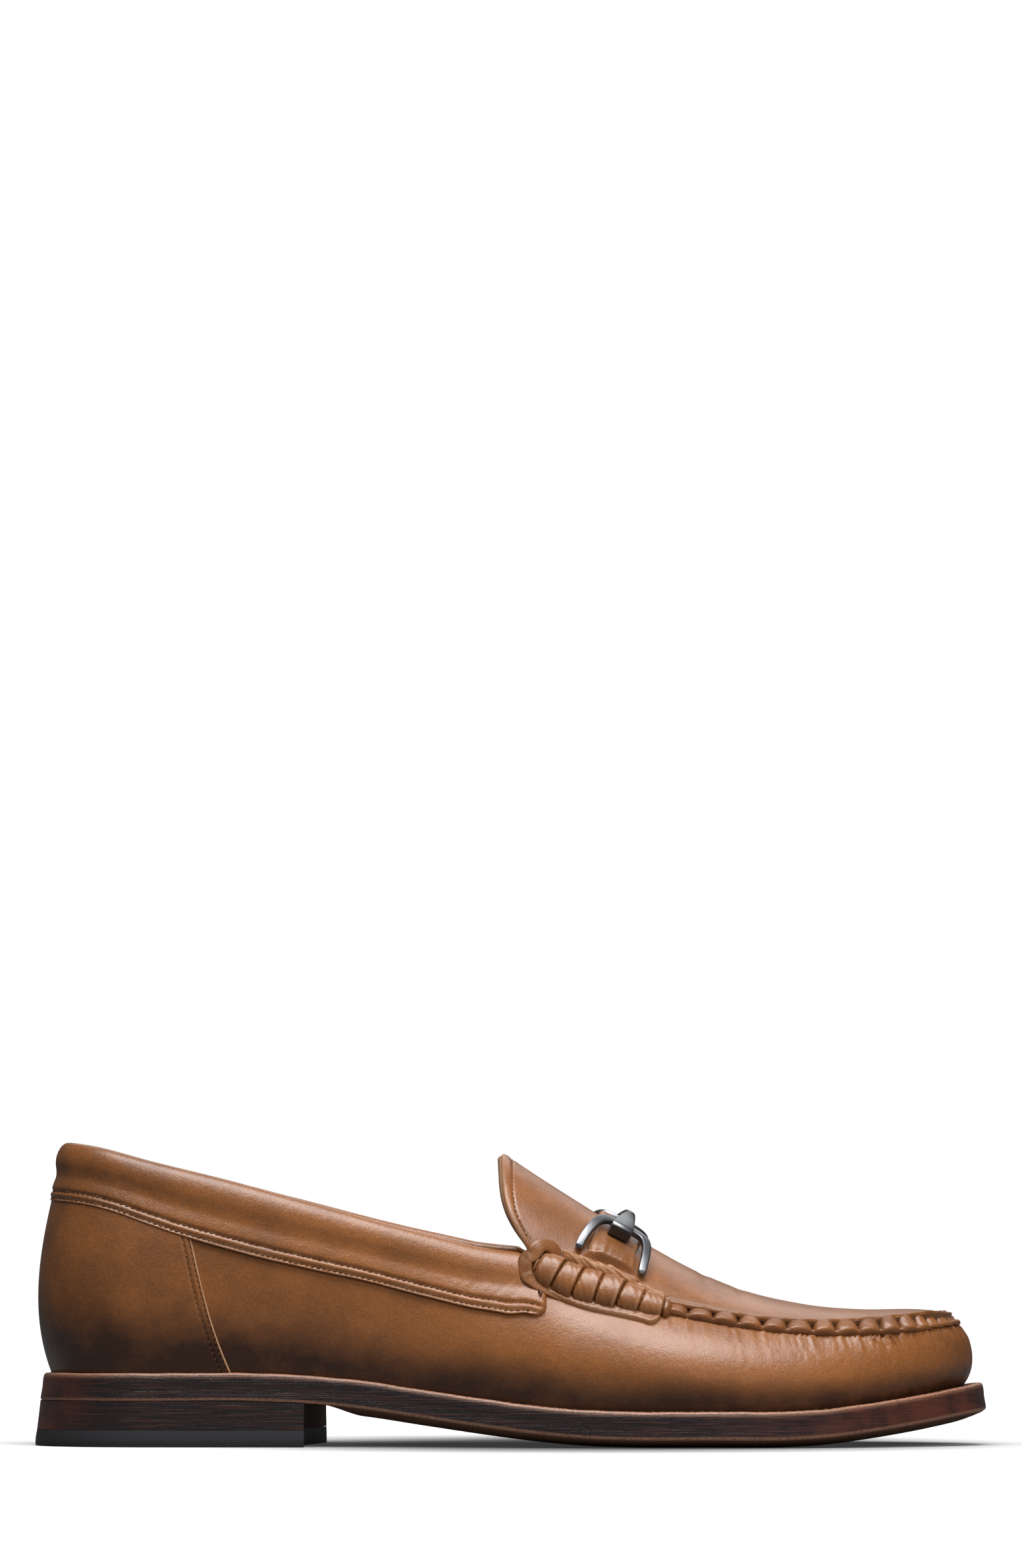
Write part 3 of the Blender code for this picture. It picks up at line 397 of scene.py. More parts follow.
def smooth(rows, column, at):
    """A smooth curve through one column of a table: cubic pieces that share slopes at the rows."""
    x = next(iter(rows.values()))
    y = rows[column]
    at = np.clip(np.asarray(at, float), x[0], x[-1])
    slope = np.gradient(y, x)
    i = np.clip(np.searchsorted(x, at, side="right") - 1, 0, len(x) - 2)
    width = x[i + 1] - x[i]
    s = (at - x[i]) / width
    return (
        y[i] * (1 + 2 * s) * (1 - s) ** 2
        + y[i + 1] * s**2 * (3 - 2 * s)
        + slope[i] * width * s * (1 - s) ** 2
        - slope[i + 1] * width * s**2 * (1 - s)
    )


def rounded(distance, reach, power):
    """Closing of an outline at an end: 0 at the tip, 1 from `reach` inwards, round between."""
    inward = held(distance / reach)
    return (1 - (1 - inward) ** power) ** (1 / power)


def side_sign(inner):
    """1 on the inner side and -1 on the outer one."""
    return np.where(inner, 1.0, -1.0)


def by_side(rows, at, inner, start=""):
    """A table's value on the inner or the outer side, from its two columns."""
    return np.where(inner, smooth(rows, start + "inner", at), smooth(rows, start + "outer", at))


SOLE_SIDES = {
    "at": PLAN["at"],
    "outer": PLAN["width"] * PLAN["outer"],
    "inner": PLAN["width"] * PLAN["inner"],
}


def outline_half(at, inner):
    """Distance of the sole's edge from its centre line."""
    half = by_side(SOLE_SIDES, at, inner)
    ends = rounded(at, HEEL_ROUND, HEEL_ROUNDNESS) * rounded(1 - at, TOE_ROUND, TOE_ROUNDNESS)
    return half * ends


def centre(at):
    """How far the sole's centre line is swung to the inner side."""
    return BALL_WIDTH * smooth(PLAN, "centre", at)


def even_stations():
    """Half-turn angles that step evenly along the sole's edge from heel to toe."""
    angle = np.linspace(0, np.pi, 1201)
    at = (1 - np.cos(angle)) / 2
    y = (outline_half(at, True) + outline_half(at, False)) / 2
    length = np.cumsum(np.hypot(np.diff(at * SOLE_LENGTH), np.diff(y)))
    return np.append(0, length) / length[-1], angle


EVEN, ANGLE = even_stations()


def station(u):
    """Share of the sole's length at u, and whether u is on the inner side."""
    u = np.mod(u, 1.0)
    inner = u > 0.5
    along = 1 - np.abs(1 - 2 * u)
    return (1 - np.cos(np.interp(along, EVEN, ANGLE))) / 2, inner


def outline(u):
    """The sole's edge in plan: its centre line plus or minus the half width."""
    at, inner = station(u)
    side = side_sign(inner)
    return np.stack([at * SOLE_LENGTH, centre(at) + side * outline_half(at, inner)], -1)


def outward(u):
    """Plan direction out of the sole at u."""
    step = 2e-3
    along = outline(u + step) - outline(u - step)
    out = np.stack([along[..., 1], -along[..., 0]], -1)
    return out / np.linalg.norm(out, axis=-1, keepdims=True)


def side_line(at):
    """Height of the lower corner of the sole's edge."""
    return (
        SOLE_ROUNDING
        + (HEEL_HEIGHT - SOLE_ROUNDING) * smooth(SIDE_LINE, "heel", at)
        + TOE_SPRING * smooth(SIDE_LINE, "toe", at)
    )


def welt_top(at):
    """Height of the welt's top: the side's lower corner plus outsole, gap and welt."""
    return side_line(at) + OUTSOLE_EDGE + GAP + WELT


def feather(u):
    """Where the upper meets the welt, in plan."""
    at, _ = station(u)
    return outline(u) - outward(u) * smooth(MARGIN, "inset", at)[..., None]


HALF_U = np.linspace(0, 0.5, 4001)
THROAT_U = float(np.interp(THROAT, station(HALF_U)[0], HALF_U))


def edge_line(u):
    """Top edge of the side wall in 3-D: the collar behind the throat, the moccasin seam ahead of it."""
    at, inner = station(u)
    side = side_sign(inner)
    back, _ = station(0.0)
    front, _ = station(0.5)
    rear = (at - back) / (THROAT - back)
    fore = (at - THROAT) / (front - THROAT)
    collar_at = COLLAR_BACK + (THROAT - COLLAR_BACK) * held(rear)
    seam_at = THROAT + (APRON_END - THROAT) * held(fore)
    collar_half = HEEL_WIDTH * by_side(COLLAR_PLAN, collar_at, inner)
    collar_half = collar_half * rounded(collar_at - COLLAR_BACK, COLLAR_ROUND, HEEL_ROUNDNESS)
    rise = CORNER_HEIGHT + (BACK_HEIGHT - CORNER_HEIGHT) * smooth(COLLAR_LINE, "share", collar_at)
    rise = rise + np.where(inner, INNER_RISE, 0) * held(rear) ** 2
    rise = rise - COLLAR_RIM * held((1 - rear) / 0.12)
    collar = np.stack([collar_at * SOLE_LENGTH, side * collar_half, welt_top(collar_at) + rise], -1)
    return np.where((at < THROAT)[..., None], collar, seam_point(seam_at, inner))


def seam_half(at, inner):
    """Distance of the moccasin seam from the centre line, round at the toe."""
    half = BALL_WIDTH * by_side(SEAM_PLAN, at, inner)
    return half * rounded(APRON_END - at, APRON_ROUND, TOE_ROUNDNESS)


def seam_height(at, inner):
    """Height of the moccasin seam above the floor."""
    share = smooth(SEAM_LINE, "share", at)
    rise = TOE_HEIGHT + (CORNER_HEIGHT - TOE_HEIGHT) * share
    lift = INNER_RISE * held(share) ** 2
    return welt_top(at) + rise + np.where(inner, lift, 0)


def seam_point(at, inner):
    """A point of the moccasin seam: its place in plan, and its height."""
    side = side_sign(inner)
    y = centre(at) + side * seam_half(at, inner)
    return np.stack([at * SOLE_LENGTH, y, seam_height(at, inner)], -1)


def wall_point(u, s):
    """Side wall at share s of its height: a cubic from the welt to the top edge."""
    at, inner = station(u)
    foot = np.concatenate([feather(u), (welt_top(at) + GAP)[..., None]], -1)
    top = edge_line(u)
    out = np.concatenate([outward(u), np.zeros(np.shape(at) + (1,))], -1)
    tall = (top[..., 2] - foot[..., 2])[..., None]
    up = np.array([0.0, 0.0, 1.0])

    def handle(start, name, rise):
        reach = by_side(WALL_FORM, at, inner, name + "_")
        flat = start * [1, 1, 0] + foot * up
        return flat + out * tall * reach[..., None] + up * tall * smooth(WALL_FORM, rise, at)[..., None]

    low = handle(foot, "low", "low_up")
    high = handle(top, "high", "high_up")
    s = np.asarray(s)[..., None]
    return (1 - s) ** 3 * foot + 3 * (1 - s) ** 2 * s * low + 3 * (1 - s) * s**2 * high + s**3 * top


def wall_length(u):
    """Girth of the side wall at u."""
    steps = np.linspace(0, 1, 25)
    points = np.stack([wall_point(u, np.full(np.shape(u), s)) for s in steps])
    return np.linalg.norm(np.diff(points, axis=0), axis=-1).sum(0)


def apron(a, t):
    """The plug's outside: straight across in plan, arched up from the seams to its ridge."""
    ridge = smooth(SPINE_LINE, "ridge", a)
    reach = held(np.where(t > ridge, (t - ridge) / (1 - ridge), (ridge - t) / (1 + ridge)))
    arch = smooth(SPINE_LINE, "arch", a)
    power = smooth(SPINE_LINE, "power", a)
    drop = arch * (1 - np.sqrt(1 - reach**2)) + (1 - arch) * reach**power
    spine = welt_top(a) + TOE_HEIGHT + (TONGUE_HEIGHT - TOE_HEIGHT) * smooth(SPINE_LINE, "share", a)
    z = spine + (seam_height(a, t > ridge) - spine) * drop
    return np.stack([a * SOLE_LENGTH, centre(a) + t * seam_half(a, t > 0), z], -1)


def tongue_station(k, t):
    """Length share on tongue line k: 0 is straight across the throat, 1 is the tongue's free edge."""
    return THROAT - k * TONGUE_REACH / SOLE_LENGTH * (1 - np.abs(t) ** 8)


def ripple(distance, width):
    """A round ridge: 1 on its line, 0 from `width` away."""
    near = held(np.abs(distance) / width)
    return (1 + np.cos(np.pi * near)) / 2


def counter_line(v):
    """Length share of the counter's front edge, which leans forward towards the welt."""
    return COUNTER_FOOT + (COUNTER_TOP - COUNTER_FOOT) * held(v)


# Grids and meshes


def ease(x):
    """0 below 0, 1 above 1, and a soft S between."""
    x = held(x)
    return x * x * (3 - 2 * x)


def quarter(distance, reach):
    """A quarter round up from an edge: 0 on it, and 1 from `reach` inwards."""
    return np.sqrt(1 - (1 - held(distance / reach)) ** 2)


def unit(vectors):
    """Vectors divided by their lengths."""
    return vectors / np.maximum(np.linalg.norm(vectors, axis=-1, keepdims=True), 1e-12)


def net(rows, columns, start=0, wrap=False):
    """Quads of a grid of points, row by row; `wrap` joins its last column to its first."""
    row = start + np.arange(rows - 1)[:, None] * columns
    column = np.arange(columns if wrap else columns - 1)[None, :]
    following = (column + 1) % columns
    quads = [row + column, row + following, row + columns + following, row + columns + column]
    return np.stack(quads, -1).reshape(-1, 4)


def grid_normals(points, wrap=False):
    """Unit normals of a grid: the step along its columns crossed with the step up its rows."""
    if wrap:
        along = np.roll(points, -1, 1) - np.roll(points, 1, 1)
    else:
        along = np.gradient(points, axis=1)
    return unit(np.cross(along, np.gradient(points, axis=0)))


def shell(outer, inner, wrap=False):
    """A closed wall between two grids: points, quads, and each quad's side, 0 out, 1 in, 2 rim."""
    rows, columns = outer.shape[:2]
    count = rows * columns
    points = np.concatenate([outer.reshape(-1, 3), inner.reshape(-1, 3)])
    front = net(rows, columns, 0, wrap)
    back = net(rows, columns, count, wrap)[:, ::-1]
    j = np.arange(columns if wrap else columns - 1)
    k = (j + 1) % columns
    top = count - columns
    rims = [
        np.stack([k, j, count + j, count + k], -1),
        np.stack([top + j, top + k, count + top + k, count + top + j], -1),
    ]
    if not wrap:
        i = np.arange(rows - 1) * columns
        e = i + columns - 1
        rims.append(np.stack([i, i + columns, count + i + columns, count + i], -1))
        rims.append(np.stack([e + columns, e, count + e, count + e + columns], -1))
    rim = np.concatenate(rims)
    side = np.repeat([0, 1, 2], [len(front), len(back), len(rim)])
    return points, [front, back, rim], side


def tubes(rings):
    """Closed tubes through rings: an array of tubes, rings, points round a ring, and x, y, z."""
    tube_count, rows, columns = rings.shape[:3]
    size = rows * columns
    starts = np.arange(tube_count) * size
    quads = (net(rows, columns, 0, True)[None] + starts[:, None, None]).reshape(-1, 4)
    ring = np.arange(columns)
    first = starts[:, None] + ring[None, ::-1]
    last = starts[:, None] + size - columns + ring[None]
    return rings.reshape(-1, 3), [quads, first, last]


def add_object(name, data):
    """A new object in the scene."""
    made = bpy.data.objects.new(name, data)
    bpy.context.scene.collection.objects.link(made)
    return made


def put(name, points, faces, materials, side=None, values=None, sharp=50.0):
    """One smooth mesh object riding on the body, with its values kept as attributes of its points."""
    mesh = bpy.data.meshes.new(name)
    place = np.asarray(points, float).reshape(-1, 3) - [HEEL_CENTRE, 0, 0]
    mesh.from_pydata(place.tolist(), [], [face for group in faces for face in group.tolist()])
    for material in materials:
        mesh.materials.append(material)
    if side is not None:
        chosen = np.minimum(side, len(materials) - 1).astype(np.int32)
        mesh.polygons.foreach_set("material_index", chosen)
    for label, numbers in (values or {}).items():
        layer = mesh.attributes.new(label, "FLOAT", "POINT")
        layer.data.foreach_set("value", np.asarray(numbers, np.float32).ravel())
    mesh.shade_smooth()
    mesh.set_sharp_from_angle(angle=np.radians(sharp))
    mesh.update()
    piece = add_object(name, mesh)
    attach(piece, "root")
    return piece


def both(values):
    """The same values for the outer and for the inner grid of a shell."""
    return np.concatenate([values.ravel(), values.ravel()])


def rounded_section(count, power):
    """Points round a section from -1 to 1 each way: a circle at power 2, squarer above it."""
    turn = np.linspace(0, 2 * np.pi, count, endpoint=False)
    x = np.sign(np.cos(turn)) * np.abs(np.cos(turn)) ** (2 / power)
    z = np.sign(np.sin(turn)) * np.abs(np.sin(turn)) ** (2 / power)
    return x, z


def sweep(path, out, half_width, half_height, count=12, power=3.0):
    """Rings along paths: a rounded section stood on each path, its width across and its height out."""
    along = unit(np.gradient(path, axis=-2))
    out = unit(out - along * (out * along).sum(-1, keepdims=True))
    across = np.cross(out, along)
    x, z = rounded_section(count, power)
    width = np.broadcast_to(half_width, path.shape[:-1])[..., None, None]
    height = np.broadcast_to(half_height, path.shape[:-1])[..., None, None]
    offset = across[..., None, :] * x[:, None] * width + out[..., None, :] * z[:, None] * height
    return path[..., None, :] + offset


def run_length(points):
    """Distance along a path at each of its points: the sum of the steps before."""
    steps = np.linalg.norm(np.diff(points, axis=0), axis=-1)
    return np.append(0, np.cumsum(steps))


def nearest(points, line, chunk=4000):
    """Distance of each point from the nearest point of a line, worked out in chunks."""
    flat = points.reshape(-1, 3)
    found = [
        np.sqrt(((part[:, None] - line[None]) ** 2).sum(-1).min(1))
        for part in np.array_split(flat, max(1, len(flat) // chunk))
    ]
    return np.concatenate(found).reshape(points.shape[:-1])


# Places on the last

LOOP_U = np.linspace(0, 1, 4001)
LOOP_GIRTH = wall_length(LOOP_U)
HALF_EDGE = edge_line(HALF_U)
HALF_A = HALF_EDGE[:, 0] / SOLE_LENGTH
OUTLINE_LENGTH = float(run_length(outline(LOOP_U)).max())


def girth(u):
    """Girth of the side wall at u, read from LOOP_GIRTH."""
    return np.interp(np.mod(u, 1), LOOP_U, LOOP_GIRTH)


def edge_u(a, inner):
    """The u whose rib ends at length share a on the collar or the seam."""
    u = np.interp(a, HALF_A, HALF_U)
    return 1 - u if inner else u


def wall_normal(u, s):
    """The wall's unit normal: the step along it crossed with the step up it."""
    step = 1e-3
    along = wall_point(u + step, s) - wall_point(u - step, s)
    up = wall_point(u, s + step) - wall_point(u, s - step)
    return unit(np.cross(along, up))


def on_wall(u, below, out=None):
    """A point `below` under the wall's top edge, and `out` of its skin; minus is over the edge."""
    s = 1 - below / girth(u)
    point = wall_point(u, s)
    if out is None:
        return point
    return point + wall_normal(u, s) * np.asarray(out)[..., None]


def toe_back(points, u, below):
    """Draw the wall's top back at the toe's tip, where the gathers turn over the corner."""
    back = TOE_DRAW * ease((station(u)[0] - 0.940) / 0.04) * (1 - ease(below / TOE_DRAW_REACH))
    moved = points.copy()
    moved[..., 0] -= back
    return moved


def plug_normal(a, t):
    """The plug's unit normal: the step along it crossed with the step across it."""
    step = 1e-3
    along = apron(a + step, t) - apron(a - step, t)
    across = apron(a, t + step) - apron(a, t - step)
    return unit(np.cross(along, across))


def near_seam(a, up, lift, inner):
    """A point by the seam: `up` the plug if positive and down the wall if negative, `lift` out of it."""
    a, up, lift = np.broadcast_arrays(a, up, lift)
    side = 1.0 if inner else -1.0
    u = edge_u(a, inner)
    below = np.clip(-up, 0, None)
    s = 1 - below / girth(u)
    slant = np.linalg.norm(apron(a, side) - apron(a, 0.85 * side), axis=-1)
    t = side * (1 - np.clip(up, 0, None) * 0.15 / slant)
    point = np.where((up > 0)[..., None], apron(a, t), wall_point(u, s))
    share = ease((up + NORMAL_BLEND) / (2 * NORMAL_BLEND))[..., None]
    out = unit(wall_normal(u, s) * (1 - share) + plug_normal(a, t) * share)
    return point + out * lift[..., None], out


def seam_run(inner):
    """Distance along the seam from the toe's tip, and u, for one side ahead of the throat."""
    u = HALF_U[HALF_U >= THROAT_U]
    points = edge_line(1 - u if inner else u)
    length = run_length(points[::-1])[::-1]
    return length[::-1], (1 - u if inner else u)[::-1]


RUN_OUTER, RUN_OUTER_U = seam_run(False)
RUN_INNER, RUN_INNER_U = seam_run(True)


def u_at_run(run):
    """The u at a signed distance along the seam from the toe's tip, minus on the outer side."""
    outer = np.interp(-run, RUN_OUTER, RUN_OUTER_U)
    inner = np.interp(run, RUN_INNER, RUN_INNER_U)
    return np.where(run < 0, outer, inner)


def run_at_u(u):
    """Signed distance along the seam from the toe's tip; it stops growing behind the throat."""
    u = np.mod(u, 1)
    outer = np.interp(u, RUN_OUTER_U[::-1], RUN_OUTER[::-1])
    inner = np.interp(u, RUN_INNER_U, RUN_INNER)
    return np.where(u <= 0.5, -outer, inner)


def pucker_centres(pitch, toe_pitch):
    """Signed runs of the puckers' middles: even along the sides and closer round the toe."""
    reach = float(np.interp(edge_u(ROLL_END + 0.004, False), RUN_OUTER_U[::-1], RUN_OUTER[::-1]))
    places, at = [], toe_pitch / 2
    while at < reach:
        places.append(at)
        at += toe_pitch + (pitch - toe_pitch) * ease((at - 0.020) / 0.045)
    one_side = np.array(places)
    return np.concatenate([-one_side[::-1], one_side])


def waves(at, seed, lengths):
    """A repeatable uneven ripple: a sum of sines of the given wavelengths with seeded phases."""
    rng = np.random.default_rng(seed)
    total = np.zeros(np.shape(at))
    for length in lengths:
        phase, drift = rng.uniform(0, 2 * np.pi, 2)
        slow = 0.8 * np.sin(2 * np.pi * at / (length * 5.3) + drift)
        total = total + np.sin(2 * np.pi * at / length + phase + slow)
    return total / len(lengths)


# The wall: quarters and vamp


def wall_columns(fine, coarse):
    """Places round the shoe: fine steps from behind the beef rolls to the toe, coarser ones behind."""
    start = THROAT_U - 0.03
    ahead = np.linspace(start, 1 - start, int((1 - 2 * start) * OUTLINE_LENGTH / fine))
    behind = np.linspace(1 - start, 1 + start, int(2 * start * OUTLINE_LENGTH / coarse))[1:-1]
    return np.concatenate([ahead, behind])


def burnish_and_shade(u, height_share):
    """How dark the leather is toned: painted shade along the welt, and burnish at the heel and at the toe's
    tip.
    """
    at, _ = station(u)
    # The low share is painted shade along the welt; the heel and toe shares are burnish.
    low = 1 - ease(height_share / PAINTED_SHADE_REACH)
    heel = 1 - ease(at / 0.50)
    toe = ease((at - 0.93) / 0.07)
    return held(0.97 * low + 0.38 * heel + 0.30 * toe)


def make_wall(sizes, looks):
    """Quarters and vamp in one skin: gathers run down from the puckers and fade in a few millimetres."""
    u = wall_columns(0.00075, 0.0015)[None, :]
    near = np.arange(0, 0.0064, 0.0004)
    share = np.linspace(0, 1, 40)[1:]
    tall = girth(u)
    lower = near[-1] + (tall + 0.0012 - near[-1]) * share[:, None] ** 0.95
    below = np.concatenate([lower[::-1], np.broadcast_to(near[::-1, None], (len(near), u.size))])
    u = np.broadcast_to(u, below.shape)
    base = toe_back(on_wall(u, below), u, below)
    # The corner at the throat is eased out of the skin under the band.
    at, _ = station(u)
    loose = np.exp(-((at - THROAT) / 0.035) ** 2) * ease((below - 0.006) / 0.012)
    soft = base
    for _ in range(60):
        soft = 0.5 * soft + 0.25 * (np.roll(soft, 1, 1) + np.roll(soft, -1, 1))
    base = base + (soft - base) * loose[..., None]
    out = grid_normals(base, True)
    run = run_at_u(u)
    ahead = ease((at - ROLL_END - 0.002) / 0.006)
    past = below - PUCKER_DROP
    gather = np.exp(-np.clip(past, 0, None) / 0.0060) * ease((past + 0.0006) / 0.0012)
    gather = gather * (0.7 + 1.0 * ease((at - 0.76) / 0.15)) * (1 + 0.5 * waves(run, 8, (0.0130, 0.0210)))
    swerve = 0.0006 * waves(below, 4, (0.0050, 0.0090))
    ripples = waves(run + swerve, 3, (0.0017, 0.0029, 0.0047))
    ripples = ripples + 0.6 * waves(run - swerve, 5, (0.0012, 0.0064))
    ripples = ripples + 0.5 * waves(run + swerve, 9, (0.0011, 0.0018))
    relief = ahead * sizes.gather * gather * (1.7 * ripples + 0.35)
    step_in = SEAM_STEP * (1 - 0.85 * ease((at - 0.945) / 0.03))
    relief = relief - ahead * step_in * (1 - ease((past + 0.0012) / 0.0016))
    relief = relief - 0.0003 * (1 - ahead) * (1 - ease(below / 0.004))
    outer = base + out * relief[..., None]
    inner = base - out * WALL
    points, faces, side = shell(outer, inner, True)
    # Burnish at the heel and toe, with painted shade darkening the wall towards the welt.
    worn = burnish_and_shade(u, 1 - below / tall)
    piece = put(
        "quarters_and_vamp", points, faces, [looks["calf"], looks["lining"], looks["raw"]], side,
        {"burnish_and_shade": both(worn)},
    )
    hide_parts("upper")


def counter_u(v):
    """Where the counter's front edge stands at share v of the wall's height up to the band."""
    dense = np.linspace(0, 0.5, 2001)
    at = station(dense)[0]
    return np.interp(counter_line(v), at, dense)


def counter_skin(u, v, out):
    """The counter panel's skin: v is 0 at the welt and 1 where the panel stops."""
    band = BAND_WIDTH * smooth(BAND, "share", station(u)[0])
    below = girth(u) - (girth(u) - band) * v
    return on_wall(u, below, out)


def make_counter(sizes, looks):
    """The rear panel: it lies over the quarters, and its cut front edge shows on both sides."""
    v = np.linspace(-0.02, 1.06, 46)[:, None]
    c = np.linspace(-1, 1, 201)[None, :]
    c = np.sign(c) * (1 - (1 - np.abs(c)) ** 1.35)
    u = counter_u(v) * c
    v = np.broadcast_to(v, u.shape)
    from_edge = (1 - np.abs(c)) * counter_u(v) * OUTLINE_LENGTH
    raised = COUNTER_STEP * 1.35 * quarter(from_edge, 0.0006)
    for row in COUNTER_ROWS:
        raised = raised - sizes.groove * ripple(from_edge - row, 0.0006)
    outer = counter_skin(u, v, raised + 0.00005)
    inner = counter_skin(u, v, -0.0004)
    points, faces, side = shell(outer, inner)
    cut = 1 - ease((from_edge - 0.0001) / 0.0005)
    # Burnish at the heel, with painted shade darkening the counter towards the welt.
    piece = put(
        "counter_panel", points, faces, [looks["calf"], looks["calf"], looks["raw"]], side,
        {"burnish_and_shade": both(burnish_and_shade(u, v * 0.68)), "raw": both(cut)},
    )


# Threads


def stitch_rings(path, out, pitch, length, radius, sink):
    """Stitches along a path: each a bead of thread whose two ends dive into the leather."""
    run = run_length(path)
    count = max(2, int(run[-1] / pitch))
    middle = (np.arange(count) + 0.5) * run[-1] / count
    along = np.linspace(-1, 1, 7)
    at = middle[:, None] + along * length / 2

    def read(field):
        return np.stack([np.interp(at, run, field[:, k]) for k in range(3)], -1)

    normal = unit(read(out))
    centre_line = read(path) - normal * (sink * along**2)[None, :, None]
    thick = radius * np.sqrt(np.clip(1.02 - along**4, 0.05, 1))
    return sweep(centre_line, normal, thick[None, :], thick[None, :], count=6, power=2.0)


def put_threads(name, rows, material):
    """Several rows of stitches as one piece."""
    points, faces, start = [], [], 0
    for rings in rows:
        row_points, row_faces = tubes(rings)
        points.append(row_points)
        faces += [face + start for face in row_faces]
        start += len(row_points)
    return put(name, np.concatenate(points), faces, [material], sharp=70)


def make_counter_threads(sizes, looks):
    """Two rows of stitches behind the counter's front edge, on both sides."""
    rows = []
    v = np.linspace(0.0, 0.985, 60)
    for inner in (False, True):
        for row in COUNTER_ROWS:
            edge = counter_u(v) - row / OUTLINE_LENGTH
            u = 1 - edge if inner else edge
            path = counter_skin(u, v, COUNTER_STEP * 1.35 - sizes.groove * 0.7)
            out = wall_normal(u, 0.5 * v)
            length = sizes.stitch * 0.66
            rows.append(stitch_rings(path, out, sizes.stitch, length, sizes.thread, sizes.thread))
    piece = put_threads("counter_threads", rows, looks["thread"])


# The collar band

BAND_SHAPE = stepped(
    "below out core",
    (0.960, 0.00, -0.10),
    (0.992, 0.14, -0.10),
    (1.006, 0.34, -0.10),
    (0.994, 0.52, -0.10),
    (0.950, 0.56, -0.10),
    (0.885, 0.64, -0.10),
    (0.822, 0.56, -0.10),
    (0.760, 0.64, -0.10),
    (0.660, 0.58, -0.10),
    (0.550, 0.50, -0.10),
    (0.440, 0.66, -0.10),
    (0.330, 0.94, -0.10),
    (0.210, 1.06, -0.10),
    (0.090, 0.98, -0.15),
    (-0.010, 0.74, -0.25),
    (-0.080, 0.32, -0.38),
    (-0.112, -0.25, -0.45),
    (-0.092, -0.78, -0.55),
    (-0.020, -1.14, -0.65),
    (0.090, -1.32, -0.75),
    (0.250, -1.40, -0.78),
    (0.430, -1.30, -0.78),
    (0.560, -1.12, -0.78),
    (0.610, -0.95, -0.78),
)


def band_track():
    """The collar from the band's inner front end, round the heel, to its outer one: signed u and run."""
    end = float(edge_u(BAND_FRONT, False))
    dense = np.linspace(-end, end, 4001)
    return dense, run_length(edge_line(np.mod(dense, 1)))


BAND_U, BAND_RUN = band_track()


def band_columns(step):
    """Even places along the band: their run, and their distance from the nearer front end."""
    run = np.linspace(0, BAND_RUN[-1], int(BAND_RUN[-1] / step))
    return run, np.minimum(run, BAND_RUN[-1] - run)


def band_width(run):
    """The band's width by its run: BAND_WIDTH times the share at that place."""
    u = np.mod(np.interp(run, BAND_RUN, BAND_U), 1)
    a = np.interp(np.minimum(u, 1 - u), HALF_U, HALF_A)
    return BAND_WIDTH * smooth(BAND_FALL, "share", a)


def band_place(run, from_end, step):
    """Where a step of the section stands: u, and the distance under the collar's edge."""
    below = band_width(run) * smooth(BAND_SHAPE, "below", step)
    # The lower corner at each front end is rounded by drawing the columns back.
    up = held(1 - (band_width(run) - below) / BAND_CORNER) * (step < 14)
    back = BAND_CORNER * (1 - np.sqrt(1 - up**2)) * held(1 - from_end / (3 * BAND_CORNER))
    moved = run + np.where(run < BAND_RUN[-1] / 2, back, -back)
    u = np.interp(moved, BAND_RUN, BAND_U)
    hidden = ease((station(u)[0] - THROAT + 0.016) / 0.016)
    return u, below + (np.maximum(below, 0.0006) - below) * hidden


def band_point(run, from_end, step, sizes, sink=0.0):
    """The band's skin at a step of its section; stitch rows press grooves with a pucker a stitch."""
    width = band_width(run)
    u, below = band_place(run, from_end, step)
    puff = BAND_PUFF * smooth(BAND_SHAPE, "out", step)
    outside = 1 - ease((step - 14.0) / 2)
    # Past the throat the roll stands on the band, so the padding is let down there.
    flat = ease((station(u)[0] - THROAT + 0.006) / 0.008)
    puff = puff * (1 - 0.45 * flat * ease((step - 10.0) / 3) * outside)
    pucker = 0.5 + 0.5 * np.cos(2 * np.pi * run / sizes.stitch)
    uneven = 1 + 0.35 * waves(run, 12, (0.0053, 0.0090))
    for row in BAND_ROWS:
        away = below - width * row + 0.00018 * np.sin(2 * np.pi * run / sizes.stitch)
        puff = puff - outside * sizes.groove * uneven * (0.65 + 0.75 * pucker) * ripple(away, 0.00080)
    wrinkle = outside * np.exp(-((from_end - 0.018) / 0.012) ** 2) * ripple(below - 0.0125, 0.0055)
    crease = waves(run + below * 0.9, 11, (0.0031, 0.0047, 0.0078))
    puff = puff + 0.00011 * wrinkle * crease
    closed = quarter(from_end, 0.0018)
    puff = np.where(puff > 0, puff * closed, puff)
    return on_wall(u, below, puff - sink)


def make_band(sizes, looks):
    """The padded collar band: one section carried round the collar and over its rim."""
    run, from_end = band_columns(0.00065)
    step = np.linspace(0, 23, 74)[:, None]
    run, from_end, step = np.broadcast_arrays(run[None], from_end[None], step)
    outer = band_point(run, from_end, step, sizes)
    u, below = band_place(run, from_end, step)
    core = on_wall(u, np.maximum(below, 0.0003), BAND_PUFF * smooth(BAND_SHAPE, "core", step))
    # The padding bridges the wall's corner at the throat.
    at, _ = station(u)
    corner = np.exp(-(((at - THROAT) * SOLE_LENGTH) / 0.0022) ** 2)
    loose = (corner * ease((from_end - 0.001) / 0.002))[..., None]
    soft = outer
    for _ in range(24):
        middle = 0.5 * soft[:, 1:-1] + 0.25 * (soft[:, 2:] + soft[:, :-2])
        soft = np.concatenate([soft[:, :1], middle, soft[:, -1:]], 1)
    outer = outer + (soft - outer) * loose
    points, faces, side = shell(outer, core)
    hem = ease((step - 0.5) / 1.5) * (1 - ease((step - 3.5) / 2.5))
    dark = burnish_and_shade(u, 0.8) * 0.9
    piece = put(
        "collar_band", points, faces, [looks["calf"], looks["calf"], looks["calf"]], side,
        {"burnish_and_shade": both(dark), "raw": both(hem * 0.12)},
    )


